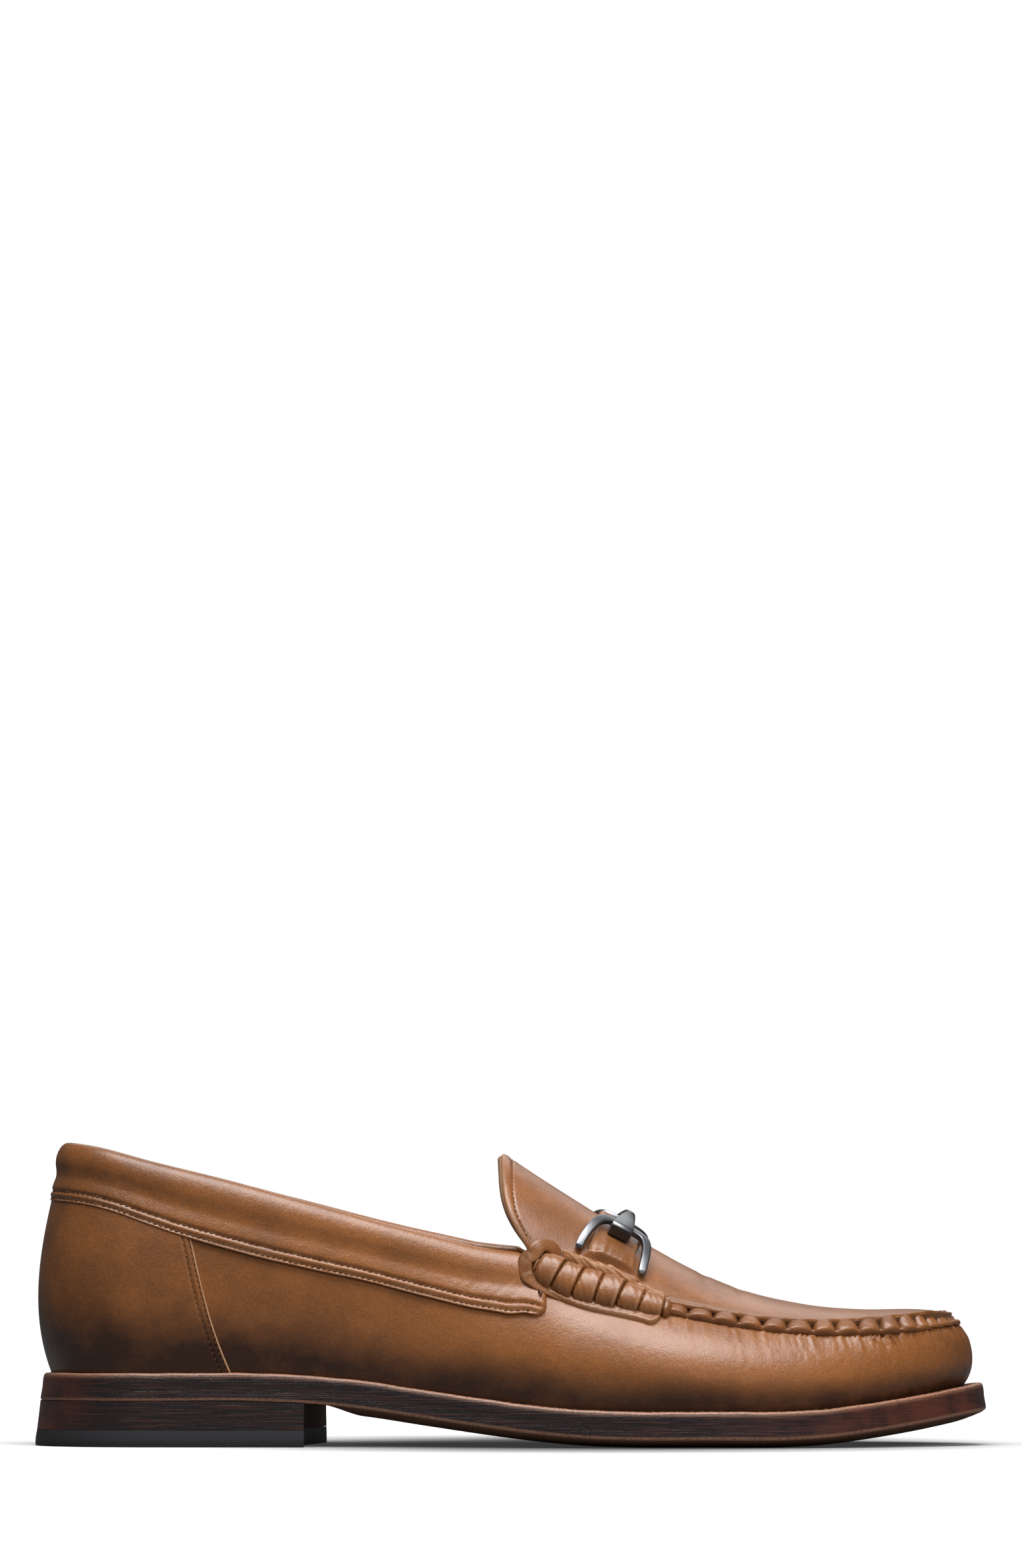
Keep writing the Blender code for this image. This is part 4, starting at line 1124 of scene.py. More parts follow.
def make_band_threads(sizes, looks):
    """Two rows of stitches outside the band and one inside the collar."""
    rows = []
    run, from_end = band_columns(0.001)
    run, from_end = run[from_end > 0.0035], from_end[from_end > 0.0035]
    dense = np.linspace(0, 23, 2301)
    below = smooth(BAND_SHAPE, "below", dense)
    for row in (*BAND_ROWS, BAND_INNER_ROW):
        inside = row == BAND_INNER_ROW
        usable = dense > 17 if inside else (dense < 13) & (dense > 2)
        step = np.full(run.shape, dense[usable][np.abs(below[usable] - row).argmin()])
        path = band_point(run, from_end, step, sizes, 0.0001 if inside else -0.00012)
        u, deep = band_place(run, from_end, step)
        out = wall_normal(u, 1 - deep / girth(u)) * (-1 if inside else 1)
        rows.append(stitch_rings(path, out, sizes.stitch, sizes.stitch * 0.62, sizes.thread, sizes.thread))
    piece = put_threads("collar_threads", rows, looks["thread"])


# The plug and tongue


def plug_grid(columns, tongue_lines, step, reach):
    """Lines across the plug from the tongue's free edge to the toe, close together at the seam."""
    c = np.linspace(-1, 1, columns)
    t = np.sign(c) * (1 - (1 - np.abs(c)) ** 1.8)
    t = t[::-1]
    count = int(RUN_OUTER.max() / step)
    run = np.linspace(RUN_OUTER.max(), 0, count)
    ahead = np.interp(np.interp(run, RUN_OUTER, RUN_OUTER_U), HALF_U, HALF_A)
    ahead[-1] = APRON_END - 2e-5
    k = np.linspace(1, 0, tongue_lines + 1)[:-1, None] * reach / TONGUE_REACH
    behind = tongue_station(k, t[None])
    a = np.concatenate([behind, np.broadcast_to(ahead[:, None], (count, columns))])
    return a, np.broadcast_to(t, a.shape)


def lip(distance, a):
    """The plug's turned edge: a quarter round up from the seam, falling away up the plug."""
    round_up = quarter(distance, 0.0008)
    fall = 1 - ease((distance - 0.0008) / 0.0030)
    toe = 1 - 0.65 * ease((a - 0.93) / 0.03)
    return LIP_HEIGHT * toe * round_up * fall * ease((a - ROLL_END + 0.020) / 0.015)


def make_plug(sizes, looks):
    """Plug and tongue: the seam's lip stands along its edge, and a thread row crosses the tongue."""
    a, t = plug_grid(71, 22, 0.0008, TONGUE_REACH)
    base = apron(a, t)
    out = plug_normal(a, t)
    seam_line = edge_line(np.concatenate([RUN_OUTER_U[::-1], RUN_INNER_U]))
    seam_line = seam_line[::6]
    distance = nearest(base, seam_line)
    run = np.sign(t) * np.interp(a, np.interp(RUN_OUTER_U, HALF_U, HALF_A)[::-1], RUN_OUTER[::-1])
    relief = lip(distance, a) * (1 + 0.10 * waves(run, 21, (0.0068, 0.0103)))
    free = (a - tongue_station(1.0, t)) * SOLE_LENGTH
    relief = relief - 0.0004 * (1 - held(free / 0.0006)) ** 2
    relief = relief - sizes.groove * 0.8 * ripple(free - TONGUE_ROW, 0.0006)
    relief = relief + 0.00012 * ripple(free - TONGUE_ROW * 0.5, TONGUE_ROW * 0.5)
    # Two soft flex creases cross the plug just ahead of the bit.
    for place, deep in PLUG_CREASES:
        bent = place + 0.006 * t**2
        relief = relief - deep * ripple((a - bent) * SOLE_LENGTH, 0.0028) * (1 - np.abs(t) ** 3)
    outer = base + out * relief[..., None]
    aside = np.stack([np.zeros(t.shape), np.sign(t), np.zeros(t.shape)], -1)
    outer = outer + aside * (0.0005 * lip(distance, a) / LIP_HEIGHT)[..., None]
    inner = base - out * PLUG_LEATHER
    droop = PLUG_DROOP * ease((a - 0.942) / 0.022)
    back = PLUG_DRAW * ease((a - 0.940) / 0.03)
    for skin_points in (outer, inner):
        skin_points[..., 2] -= droop
        skin_points[..., 0] -= back
    points, faces, side = shell(outer, inner)
    cut = 1 - ease(free / 0.0005)
    # Burnish towards the toe's tip, and painted shade darkening the plug towards the seams at its sides.
    shade = 0.10 + 0.10 * np.abs(t) ** 2 + 0.4 * ease((a - 0.90) / 0.06)
    piece = put(
        "plug_and_tongue", points, faces, [looks["calf"], looks["raw"], looks["raw"]], side,
        {"burnish_and_shade": both(shade), "raw": both(cut * 0.6)},
    )


def make_plug_lining(sizes, looks):
    """The tongue's second layer: it shows as a fuzzy strip past the top layer's cut edge."""
    a, t = plug_grid(61, 22, 0.0016, TONGUE_REACH + 0.0004)
    t = t * 0.985
    base = apron(a, t)
    out = plug_normal(a, t)
    fray = 0.00010 * waves(t * 0.06, 31, (0.0012, 0.0021, 0.0043))
    outer = base - out * (PLUG_LEATHER + 0.00008)
    inner = base - out * (PLUG_LEATHER + TONGUE_LINING + fray)[..., None]
    points, faces, side = shell(outer, inner)
    piece = put("tongue_lining", points, faces, [looks["raw"], looks["lining"], looks["raw"]], side)


def make_tongue_threads(sizes, looks):
    """The row of stitches across the tongue behind its cut edge."""
    t = np.linspace(-0.93, 0.93, 400)
    a = tongue_station(1.0, t) + TONGUE_ROW / SOLE_LENGTH
    out = plug_normal(a, t)
    path = apron(a, t) - out * sizes.groove * 0.35
    rings = stitch_rings(path, out, sizes.stitch, sizes.stitch * 0.6, sizes.thread * 0.85, sizes.thread)
    piece = put_threads("tongue_threads", [rings], looks["thread"])


# The moccasin seam


def make_puckers(sizes, looks):
    """The gathered beads under the plug's lip: domes with flat feet, one a stitch, leaning to the heel."""
    rng = np.random.default_rng(7)
    run = pucker_centres(sizes.pucker, sizes.toe_pucker)
    spacing = np.gradient(run)[:, None, None]
    y = np.linspace(0, 1, 17)[None, :, None]
    x = np.linspace(-1, 1, 25)[None, None, :]
    count = len(run)
    size = 1 + rng.uniform(-0.06, 0.06, (count, 1, 1))
    tall = 1 + rng.uniform(-0.10, 0.10, (count, 1, 1))
    lean = rng.uniform(0.10, 0.26, (count, 1, 1))
    phase = rng.uniform(0, 6, (count, 1, 1))
    heelward = np.sign(run)[:, None, None]
    toe = 1 - ease((np.abs(run)[:, None, None] - 0.012) / 0.030)
    half = 0.55 * spacing * size
    at = run[:, None, None] + x * half + heelward * lean * half * (1 - 2 * y)
    u = u_at_run(at)
    drop = PUCKER_DROP * (1 + 0.10 * (1 - toe)) * tall**0.3
    below = drop - (drop - PUCKER_TOP) * y + np.zeros(at.shape)
    # An arch over a flat foot, whose lower edge is round and whose top tucks under the lip.
    reach = np.abs(x) ** 2.3 + (0.80 * y) ** 2.3
    arch = held(1 - reach) ** 0.5
    foot = quarter(y, 0.22)
    bulge = arch * (0.25 + 0.75 * foot) * (1 - 0.20 * ease(y))
    fan = np.arctan2(y + 0.05, 1.08 + x * heelward)
    folds = np.sin(fan * 15 + phase) * ease((0.75 - fan) / 0.75) * ease(y / 0.1)
    high = sizes.pucker_height * tall * (1 - 0.48 * toe)
    lift = high * bulge + 0.00012 * folds * arch - PUCKER_SINK
    base = toe_back(on_wall(u, below), u, below)
    out = wall_normal(u, 1 - below / girth(u))
    outer = base + out * lift[..., None]
    under = base - out * 0.0016
    # The tops stand up against the lip instead of ending on the wall's edge.
    outer[..., 2] += PUCKER_STAND * (1 - 0.4 * toe) * y**1.6
    # Painted shade: each bead is toned darker where its dome falls away into the creases between beads.
    deep = held(1 - np.broadcast_to(bulge, at.shape)) ** 1.5
    points, faces, shades, start = [], [], [], 0
    for i in range(count):
        piece_points, piece_faces, _ = shell(outer[i], under[i])
        points.append(piece_points)
        faces += [face + start for face in piece_faces]
        shades.append(both(0.10 + 0.85 * deep[i]))
        start += len(piece_points)
    piece = put(
        "moccasin_puckers", np.concatenate(points), faces, [looks["calf"]], None,
        {"burnish_and_shade": np.concatenate(shades)}, sharp=180,
    )


def make_pucker_leaves(sizes, looks):
    """The twisted hem under the puckers: a thin leaf from each crease, tucked under the next bead."""
    run = pucker_centres(sizes.pucker, sizes.toe_pucker)
    spacing = np.gradient(run)[:, None]
    q = np.linspace(0, 1, 13)[None, :]
    heelward = np.sign(run)[:, None]
    at = run[:, None] + heelward * spacing * (0.78 - 1.25 * q)
    u = u_at_run(at)
    below = PUCKER_DROP - PUCKER_SINK + 0.0008 * q**1.5
    path = on_wall(u, below + np.zeros(u.shape), 0.0003 + 0.0006 * np.sin(np.pi * q) + np.zeros(u.shape))
    path = toe_back(path, u, below)
    out = wall_normal(u, 1 - below / girth(u))
    thin = 0.00055 * np.sin(np.pi * np.clip(q, 0.04, 0.96)) ** 0.6 + np.zeros(u.shape)
    rings = sweep(path, out, thin * 1.5, thin, count=8, power=2.4)
    points, faces = tubes(rings)
    # The hem is toned darker than the calf: painted shade under the beads.
    shade = np.full(len(points), 0.35)
    piece = put("seam_hem", points, faces, [looks["calf"]], None, {"burnish_and_shade": shade}, sharp=70)


# Beef rolls


ROLL_BODY = table(
    "at half tall shift",
    (0.520, 0.0044, 0.0040, -0.0030),
    (0.530, 0.0056, 0.0050, -0.0027),
    (0.545, 0.0061, 0.0055, -0.0024),
    (0.570, 0.0064, 0.0056, -0.0027),
    (0.605, 0.0060, 0.0052, -0.0031),
    (0.636, 0.0051, 0.0043, -0.0035),
    (0.654, 0.0043, 0.0036, -0.0034),
    (0.664, 0.0032, 0.0028, -0.0031),
)


def roll_frames(a, inner):
    """Frames on the seam: places, steps towards the toe, up the plug and out."""
    middle, _ = near_seam(a, smooth(ROLL_BODY, "shift", a), 0.0, inner)
    high, _ = near_seam(a, 0.0040, 0.0, inner)
    low, _ = near_seam(a, -0.0040, 0.0, inner)
    along = unit(np.gradient(middle, axis=0))
    up = high - low
    up = unit(up - along * (up * along).sum(-1, keepdims=True))
    out = np.cross(up, along) if inner else np.cross(along, up)
    return middle, up, out


def make_roll(name, node, inner, sizes, looks):
    """A beef roll: turns of strap round the seam, each turn's front edge standing over the next."""
    rows, columns = 260, 56
    a = np.linspace(ROLL_BODY["at"][0], ROLL_BODY["at"][-1], rows)
    middle, up, out = roll_frames(a, inner)
    turn = np.linspace(0, 2 * np.pi, columns, endpoint=False)[None, :]
    turn = -turn if inner else turn
    run = run_length(middle)[:, None]
    half = smooth(ROLL_BODY, "half", a)[:, None]
    tall = smooth(ROLL_BODY, "tall", a)[:, None]
    height = np.cos(turn)
    phase = (run - 0.0012 - 0.06 * half * height) / sizes.wrap
    count = np.floor(phase)
    f = phase - count
    rise = quarter(f, 0.20)
    fall = np.sqrt(1 - held((f - 0.91) / 0.09) ** 2)
    level = 0.95 + 0.06 * f + 0.03 * np.sin(count * 2.4 + 1) + 0.02 * np.sin(np.pi * f)
    swell = level * (1 - 0.28 * (1 - rise * fall))
    swell = swell + 0.016 * waves(run + 0.6 * half * height, 41, (0.0023, 0.0041))
    close = 0.25 + 0.75 * quarter(np.minimum(run, run[-1] - run), 0.0022)
    swell = swell * close
    # The section is flatter where it lies on the shoe.
    c, s = np.cos(turn), np.sin(turn)
    reach_up = np.sign(c) * np.abs(c) ** 0.9
    reach_out = np.where(s > 0, np.abs(s) ** 0.85, -0.35 * np.abs(s))
    rings = (
        middle[:, None]
        + up[:, None] * (half * reach_up * swell)[..., None]
        + out[:, None] * (tall * reach_out * swell + 0.0004)[..., None]
    )
    points, faces = tubes(rings[None])
    # Painted shade: darker in the creases between turns and on the roll's lower side.
    crease = held(1 - rise * fall) ** 1.5
    edge = ease((f - 0.78) / 0.08) * (1 - ease((f - 0.92) / 0.05))
    shaded_low_side = ease(-height)
    piece = put(
        name, points, faces, [looks["strap"]], None,
        {"burnish_and_shade": 0.12 + 0.95 * crease + 0.20 * shaded_low_side, "raw": 0.15 * edge}, sharp=75,
    )
    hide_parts(node)


# The tab under a roll: its lower edge down the wall, from the rear loop to its point.
TAB = table(
    "at low high",
    (0.515, 0.0112, 0.0060),
    (0.523, 0.0117, 0.0050),
    (0.538, 0.0110, 0.0045),
    (0.562, 0.0115, 0.0045),
    (0.590, 0.0123, 0.0045),
    (0.612, 0.0121, 0.0042),
    (0.632, 0.0120, 0.0040),
    (0.6420, 0.0121, 0.0036),
    (0.6470, 0.0108, 0.0034),
    (0.6515, 0.0082, 0.0032),
)

# The loop round a roll's rear end, from the plug down to the tab: the middle line of a strip.
LOOP = stepped(
    "at up lift width",
    (0.5470, 0.0044, 0.0010, 0.0016),
    (0.5395, 0.0044, 0.0026, 0.0022),
    (0.5315, 0.0036, 0.0036, 0.0022),
    (0.5245, 0.0018, 0.0045, 0.0023),
    (0.5188, -0.0006, 0.0048, 0.0024),
    (0.5160, -0.0036, 0.0045, 0.0024),
    (0.5165, -0.0070, 0.0036, 0.0022),
    (0.5200, -0.0094, 0.0026, 0.0018),
    (0.5270, -0.0103, 0.0020, 0.0015),
    (0.5370, -0.0105, 0.0015, 0.0011),
    (0.5520, -0.0106, 0.0009, 0.0006),
)


def make_tab(name, inner, sizes, looks):
    """The strap's end under a roll: a flat tab on the wall with a rounded edge, cut to a point."""
    q = np.linspace(0, 1, 26)[:, None]
    q = 1 - (1 - q) ** 1.5
    a = np.linspace(TAB["at"][0], TAB["at"][-1], 150)[None, :]
    low = smooth(TAB, "low", a)
    high = smooth(TAB, "high", a)
    below = low + (high - low) * q
    a = np.broadcast_to(a, below.shape)
    u = edge_u(a, inner)
    from_low = (below * 0 + low) - below
    from_front = (TAB["at"][-1] - a) * SOLE_LENGTH
    edge = np.minimum(from_low, from_front)
    thick = TAB_THICKNESS * quarter(edge, 0.0009)
    thick = thick + 0.00012 * waves(a * SOLE_LENGTH + below, 51, (0.0023, 0.0041, 0.0090))
    outer = on_wall(u, below, thick)
    under = on_wall(u, below, -0.0004)
    if inner:
        outer, under, edge = outer[:, ::-1], under[:, ::-1], edge[:, ::-1]
    points, faces, _ = shell(outer, under)
    cut = (1 - ease(edge / 0.0012)) * 0.30
    piece = put(
        name, points, faces, [looks["strap"]], None,
        {"burnish_and_shade": both(np.full(edge.shape, 0.15)), "raw": both(cut)}, sharp=60,
    )


def make_loop(name, inner, sizes, looks):
    """The strip round a roll's rear end: a rounded section carried along its middle line."""
    step = np.linspace(0, 10, 90)
    path, out = near_seam(
        smooth(LOOP, "at", step), smooth(LOOP, "up", step), smooth(LOOP, "lift", step) - 0.0012, inner
    )
    for _ in range(6):
        path[1:-1] = 0.5 * path[1:-1] + 0.25 * (path[2:] + path[:-2])
        out[1:-1] = unit(0.5 * out[1:-1] + 0.25 * (out[2:] + out[:-2]))
    width = smooth(LOOP, "width", step)
    width = width * (1 - 0.35 * (1 - held(step / 0.6)) ** 2)
    rings = sweep(path, out, width, 0.00085 + 0.0001 * np.sin(step), count=20, power=3.4)
    points, faces = tubes(rings[None])
    # Painted shade: the loop is darker round the middle of its run, where it turns down behind the roll.
    shade = np.repeat(0.12 + 0.25 * np.exp(-((step - 5.5) / 2.0) ** 2), 20)
    piece = put(name, points, faces, [looks["strap"]], None, {"burnish_and_shade": shade}, sharp=75)


def make_fold(name, inner, sizes, looks):
    """The strap's raw folded edge above a roll: a flat, crumpled and ragged strip of pale fibres."""
    a = np.linspace(*FOLD_ENDS, 420)[None, :]
    q = np.linspace(0, 1, 15)[:, None]
    run = a * SOLE_LENGTH
    low = 0.0020 - 0.0022 * ease((a - 0.57) / 0.07)
    high = 0.0071 - 0.0043 * ease((a - 0.59) / 0.06)
    high = high + 0.00060 * waves(run, 64, (0.0036, 0.0061, 0.0123))
    up = low + (high - low) * q
    arch = np.sqrt(held(1 - (2 * q - 1) ** 2))
    crumple = 1.6 * waves(run + 1.4 * up, 62, (0.0027, 0.0046, 0.0083))
    crumple = crumple + 0.5 * waves(up * 0.8 - run * 0.5, 65, (0.0031, 0.0052))
    ends = np.sqrt(held(np.minimum(a - a[0, 0], a[0, -1] - a) / 0.006))
    lift = ends * arch * (0.0026 - 0.0008 * ease((a - 0.61) / 0.04) + 0.00026 * crumple) + 0.0003
    top, _ = near_seam(a, up, lift, inner)
    under, _ = near_seam(a, up, -0.0004, inner)
    if inner:
        top, under = top[:, ::-1], under[:, ::-1]
    points, faces, _ = shell(top, under)
    raw = held(0.35 + 0.30 * crumple) * (0.4 + 0.6 * q)
    raw = raw[:, ::-1] if inner else raw
    values = {"burnish_and_shade": both(np.full(up.shape, 0.1)), "raw": both(raw)}
    piece = put(name, points, faces, [looks["strap"]], None, values, sharp=75)


def make_knot(name, inner, sizes, looks):
    """The thread's knotted ends by a roll's rear end: three short tufts."""
    starts = np.array([0.5290, 0.5302, 0.5312])
    q = np.linspace(0, 1, 8)[None, :]
    a = starts[:, None] + np.array([0.0012, 0.0004, -0.0014])[:, None] * q
    up = -0.0118 - np.array([0.0006, 0.0018, 0.0012])[:, None] * q
    path, out = near_seam(a, up, 0.0004 + 0.0020 * np.sin(np.pi * q * 0.8) + np.zeros(a.shape), inner)
    rings = sweep(path, out, 0.0006 * (1.1 - 0.7 * q), 0.0006 * (1.1 - 0.7 * q), count=8, power=2.0)
    points, faces = tubes(rings)
    piece = put(name, points, faces, [looks["thread"]], sharp=75)


def make_rolls(sizes, looks):
    """The two beef rolls, each with its tab, loop, raw fold and knot."""
    makers = {"tab": make_tab, "loop": make_loop, "fold": make_fold, "knot": make_knot}
    for side, inner in SIDES:
        make_roll("roll_" + side, "beef_roll_" + side, inner, sizes, looks)
        for part, maker in makers.items():
            maker(f"roll_{part}_{side}", inner, sizes, looks)


# The saddle strap


def make_strap(sizes, looks):
    """The strap over the plug: it swells between the bit and the rolls, and its cut edges are rounded."""
    out_end = STRAP["out"][-1]
    t = np.linspace(out_end, -out_end, 161)[None, :]
    share = np.linspace(0, 1, 41)[:, None]
    share = 0.5 - 0.5 * np.cos(np.pi * share)
    back = smooth(STRAP, "back", np.abs(t))
    front = smooth(STRAP, "front", np.abs(t))
    a = BIT_PLACE + STRAP_WIDTH * (share * (front + back) - back) / SOLE_LENGTH
    t = np.broadcast_to(t, a.shape)
    wide = STRAP_WIDTH * (front + back)
    edge = np.minimum(share, 1 - share) * wide
    rounding = quarter(edge, 0.0008)
    puff = ease((np.abs(t) - 0.52) / 0.22) * np.sin(np.pi * share) ** 0.7
    tucked = 1 - 0.85 * ease((np.abs(t) - 0.835) / 0.05)
    thick = STRAP_THICKNESS * rounding + 0.0014 * puff
    fold = ripple(share - 0.28, 0.16) * ease((np.abs(t) - 0.62) / 0.15)
    thick = thick + 0.0004 * fold
    crease = waves(share * 0.02 + np.abs(t) * 0.004, 71, (0.0024, 0.0051))
    thick = (thick + 0.00010 * crease * ease((np.abs(t) - 0.6) / 0.2)) * tucked
    base = apron(a, t)
    normal = plug_normal(a, t)
    outer = base + normal * (OVERLAY_GAP + thick)[..., None]
    under = base + normal * 0.0001
    points, faces, _ = shell(outer, under)
    cut = (1 - ease(edge / 0.0009)) * 0.45
    piece = put(
        "strap", points, faces, [looks["strap"]], None,
        {"burnish_and_shade": both(0.12 + 0.2 * puff), "raw": both(cut)}, sharp=60,
    )
    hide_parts("saddle_strap")


# The bit


def bit_place(y):
    """The bit's middle line on the plug: it leans back as the plug falls away at the sides."""
    ridge = apron(np.array(BIT_PLACE), smooth(SPINE_LINE, "ridge", BIT_PLACE))
    a = np.full(np.shape(y), BIT_PLACE)
    for _ in range(6):
        t = y / seam_half(a, y > 0)
        fall = ridge[2] - apron(a, t)[..., 2]
        slope = apron(a, smooth(SPINE_LINE, "ridge", a))[..., 2] - ridge[2]
        a = BIT_PLACE - BIT_LEAN * (fall + slope) / SOLE_LENGTH
    return a, y / seam_half(a, y > 0)


def bit_frames(y):
    """Frames along the bit's bar at each y: seats on the strap, and steps forward and out."""
    a, t = bit_place(y)
    out = plug_normal(a, t)
    step = 1e-3
    forward = unit(apron(a + step, t) - apron(a - step, t))
    seat = apron(a, t) + out * (OVERLAY_GAP + STRAP_THICKNESS + GAP)
    return seat, forward, out


def make_bit_bar(sizes, looks):
    """The bit's bar: a rounded box section that is broad at its ends and waisted over the ridge."""
    end = BIT_SPAN / 2
    y = np.concatenate([[-end, -end + 0.0002, -end + 0.0005], np.linspace(-end + 0.0012, end - 0.0012, 61)])
    y = np.concatenate([y, [end - 0.0005, end - 0.0002, end]])
    middle = np.abs(y) / end
    width = (BIT_WAIST + (BIT_WIDTH - BIT_WAIST) * middle) / 2
    height = BIT_MIDDLE + (BIT_HEIGHT - BIT_MIDDLE) * middle
    bevel = 0.0007 * held((middle - 1 + 0.0012 / end) / (0.0012 / end)) ** 2
    width = width - bevel
    seat, forward, out = bit_frames(y)
    corner = np.minimum(0.0006, width * 0.6)
    low = bevel
    high = height - bevel
    belt = low + 0.5 * (high - low)
    side = [-width, width, width, width, width - 0.35 * corner, width - corner]
    x = np.stack([*side, -width + corner, -width + 0.35 * corner, -width, -width], -1)
    rise = [high - corner, high - 0.30 * corner, high]
    z = np.stack([low, low, belt, *rise, *rise[::-1], belt], -1)
    rings = seat[:, None] + forward[:, None] * x[..., None] + out[:, None] * z[..., None]
    points, faces = tubes(rings[None, :, ::-1])
    # The bar's end caps take a darker copy of the nickel: painted shade on the ends.
    ends = np.repeat([0, 1, 1], [len(face) for face in faces])
    bar = put("bit_crossbar", points, faces, [looks["metal"], looks["dark_metal"]], ends, sharp=28)
    for side_of_bar in (-1.0, 1.0):
        cut_eye(bar, side_of_bar)
    bar.data.set_sharp_from_angle(angle=np.radians(28.0))
    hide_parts("bit_bar")


def cut_eye(bar, side):
    """Cut the eye that a half ring passes, right through the bar near its end."""
    seat, forward, out = (frame[0] for frame in bit_frames(np.array([side * EYE_SPAN / 2])))
    aside = np.cross(out, forward)
    middle = seat + out * (EYE_FLOOR + EYE_HEIGHT / 2) - [HEEL_CENTRE, 0, 0]
    corners = []
    for x in (-1, 1):
        for y, z in ((-1, -1), (1, -1), (1, 1), (-1, 1)):
            corners.append(
                middle + forward * x * BIT_WIDTH + aside * y * EYE_WIDTH / 2 + out * z * EYE_HEIGHT / 2
            )
    faces = [(3, 2, 1, 0), (4, 5, 6, 7), (1, 5, 4, 0), (2, 6, 5, 1), (3, 7, 6, 2), (0, 4, 7, 3)]
    mesh = bpy.data.meshes.new("eye_cutter")
    mesh.from_pydata(corners, [], faces)
    cutter = add_object("eye_cutter", mesh)
    cut = bar.modifiers.new("eye", "BOOLEAN")
    cut.operation = "DIFFERENCE"
    cut.object = cutter
    bpy.context.view_layer.update()
    shaped = bar.evaluated_get(bpy.context.evaluated_depsgraph_get())
    bar.data = bpy.data.meshes.new_from_object(shaped)
    bar.modifiers.clear()
    bpy.data.objects.remove(cutter)


def make_half_ring(name, node, inner, sizes, looks):
    """A half ring through the bar's end: a flat bar with bevelled edges, its legs beside the strap."""
    side = 1.0 if inner else -1.0
    step = np.linspace(0, 14, 120)
    place = BIT_PLACE + smooth(RING_PATH, "forward", step) * RING_SPAN / SOLE_LENGTH
    aside = side * (EYE_SPAN / 2 + smooth(RING_PATH, "out", step) * RING_REACH)
    t = aside / seam_half(place, inner)
    out = plug_normal(place, t)
    lift = RING_LIFT * smooth(RING_PATH, "lift", step) + RING_THICKNESS / 2
    path = apron(place, t) + out * lift[:, None]
    tip = held(np.minimum(step, 14 - step) / 0.35)
    wide = RING_BAR / 2 * (1.28 - 0.16 * np.cos(2 * np.pi * step / 14)) * (0.75 + 0.25 * tip)
    high = RING_THICKNESS / 2 * (0.65 + 0.35 * tip)
    rings = sweep(path, out, wide, high, count=28, power=5.5)
    points, faces = tubes(rings[None])
    piece = put(name, points, faces, [looks["metal"]], sharp=40)
    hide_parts(node)


def make_half_rings(sizes, looks):
    """The two half rings of the bit."""
    for side, inner in SIDES:
        make_half_ring("bit_ring_" + side, "bit_half_ring_" + side, inner, sizes, looks)


# Sole and heel


def sole_bottom(at):
    """The outsole's underside along its middle: flat above the heel, rounded down ahead of it."""
    breast = HEEL_LENGTH / SOLE_LENGTH
    drop = ease((at - breast - 0.012) / 0.05)
    return side_line(at) - SOLE_ROUNDING * drop


def loop_at(u, inset, height):
    """A loop round the shoe, `inset` from the sole's edge, at a height that follows its place."""
    plan = outline(u) - outward(u) * np.broadcast_to(inset, np.shape(u))[..., None]
    return np.concatenate([plan, height(held(plan[:, 0] / SOLE_LENGTH))[:, None]], -1)


def crossed(count, start):
    """Quads across a loop from its outer side to its inner side, for a cap that keeps its rise."""
    i = np.arange(1, count // 2 - 1)
    quads = np.stack([start + i, start + i + 1, start + count - i - 1, start + count - i], -1)
    half = count // 2
    ends = np.array([
        [start, start + 1, start + count - 1],
        [start + half - 1, start + half, start + half + 1],
    ])
    return quads, ends


def closed_slab(loops):
    """A solid through loops from bottom to top, with caps that cross from side to side."""
    grid = np.stack(loops)
    rows, count = grid.shape[:2]
    walls = net(rows, count, 0, True)
    low_quads, low_ends = crossed(count, 0)
    high_quads, high_ends = crossed(count, (rows - 1) * count)
    faces = [walls, low_quads[:, ::-1], low_ends[:, ::-1], high_quads, high_ends]
    return grid.reshape(-1, 3), faces


def even_u(count):
    """Even places round the shoe, without the last, which is the first again."""
    return np.arange(count) / count


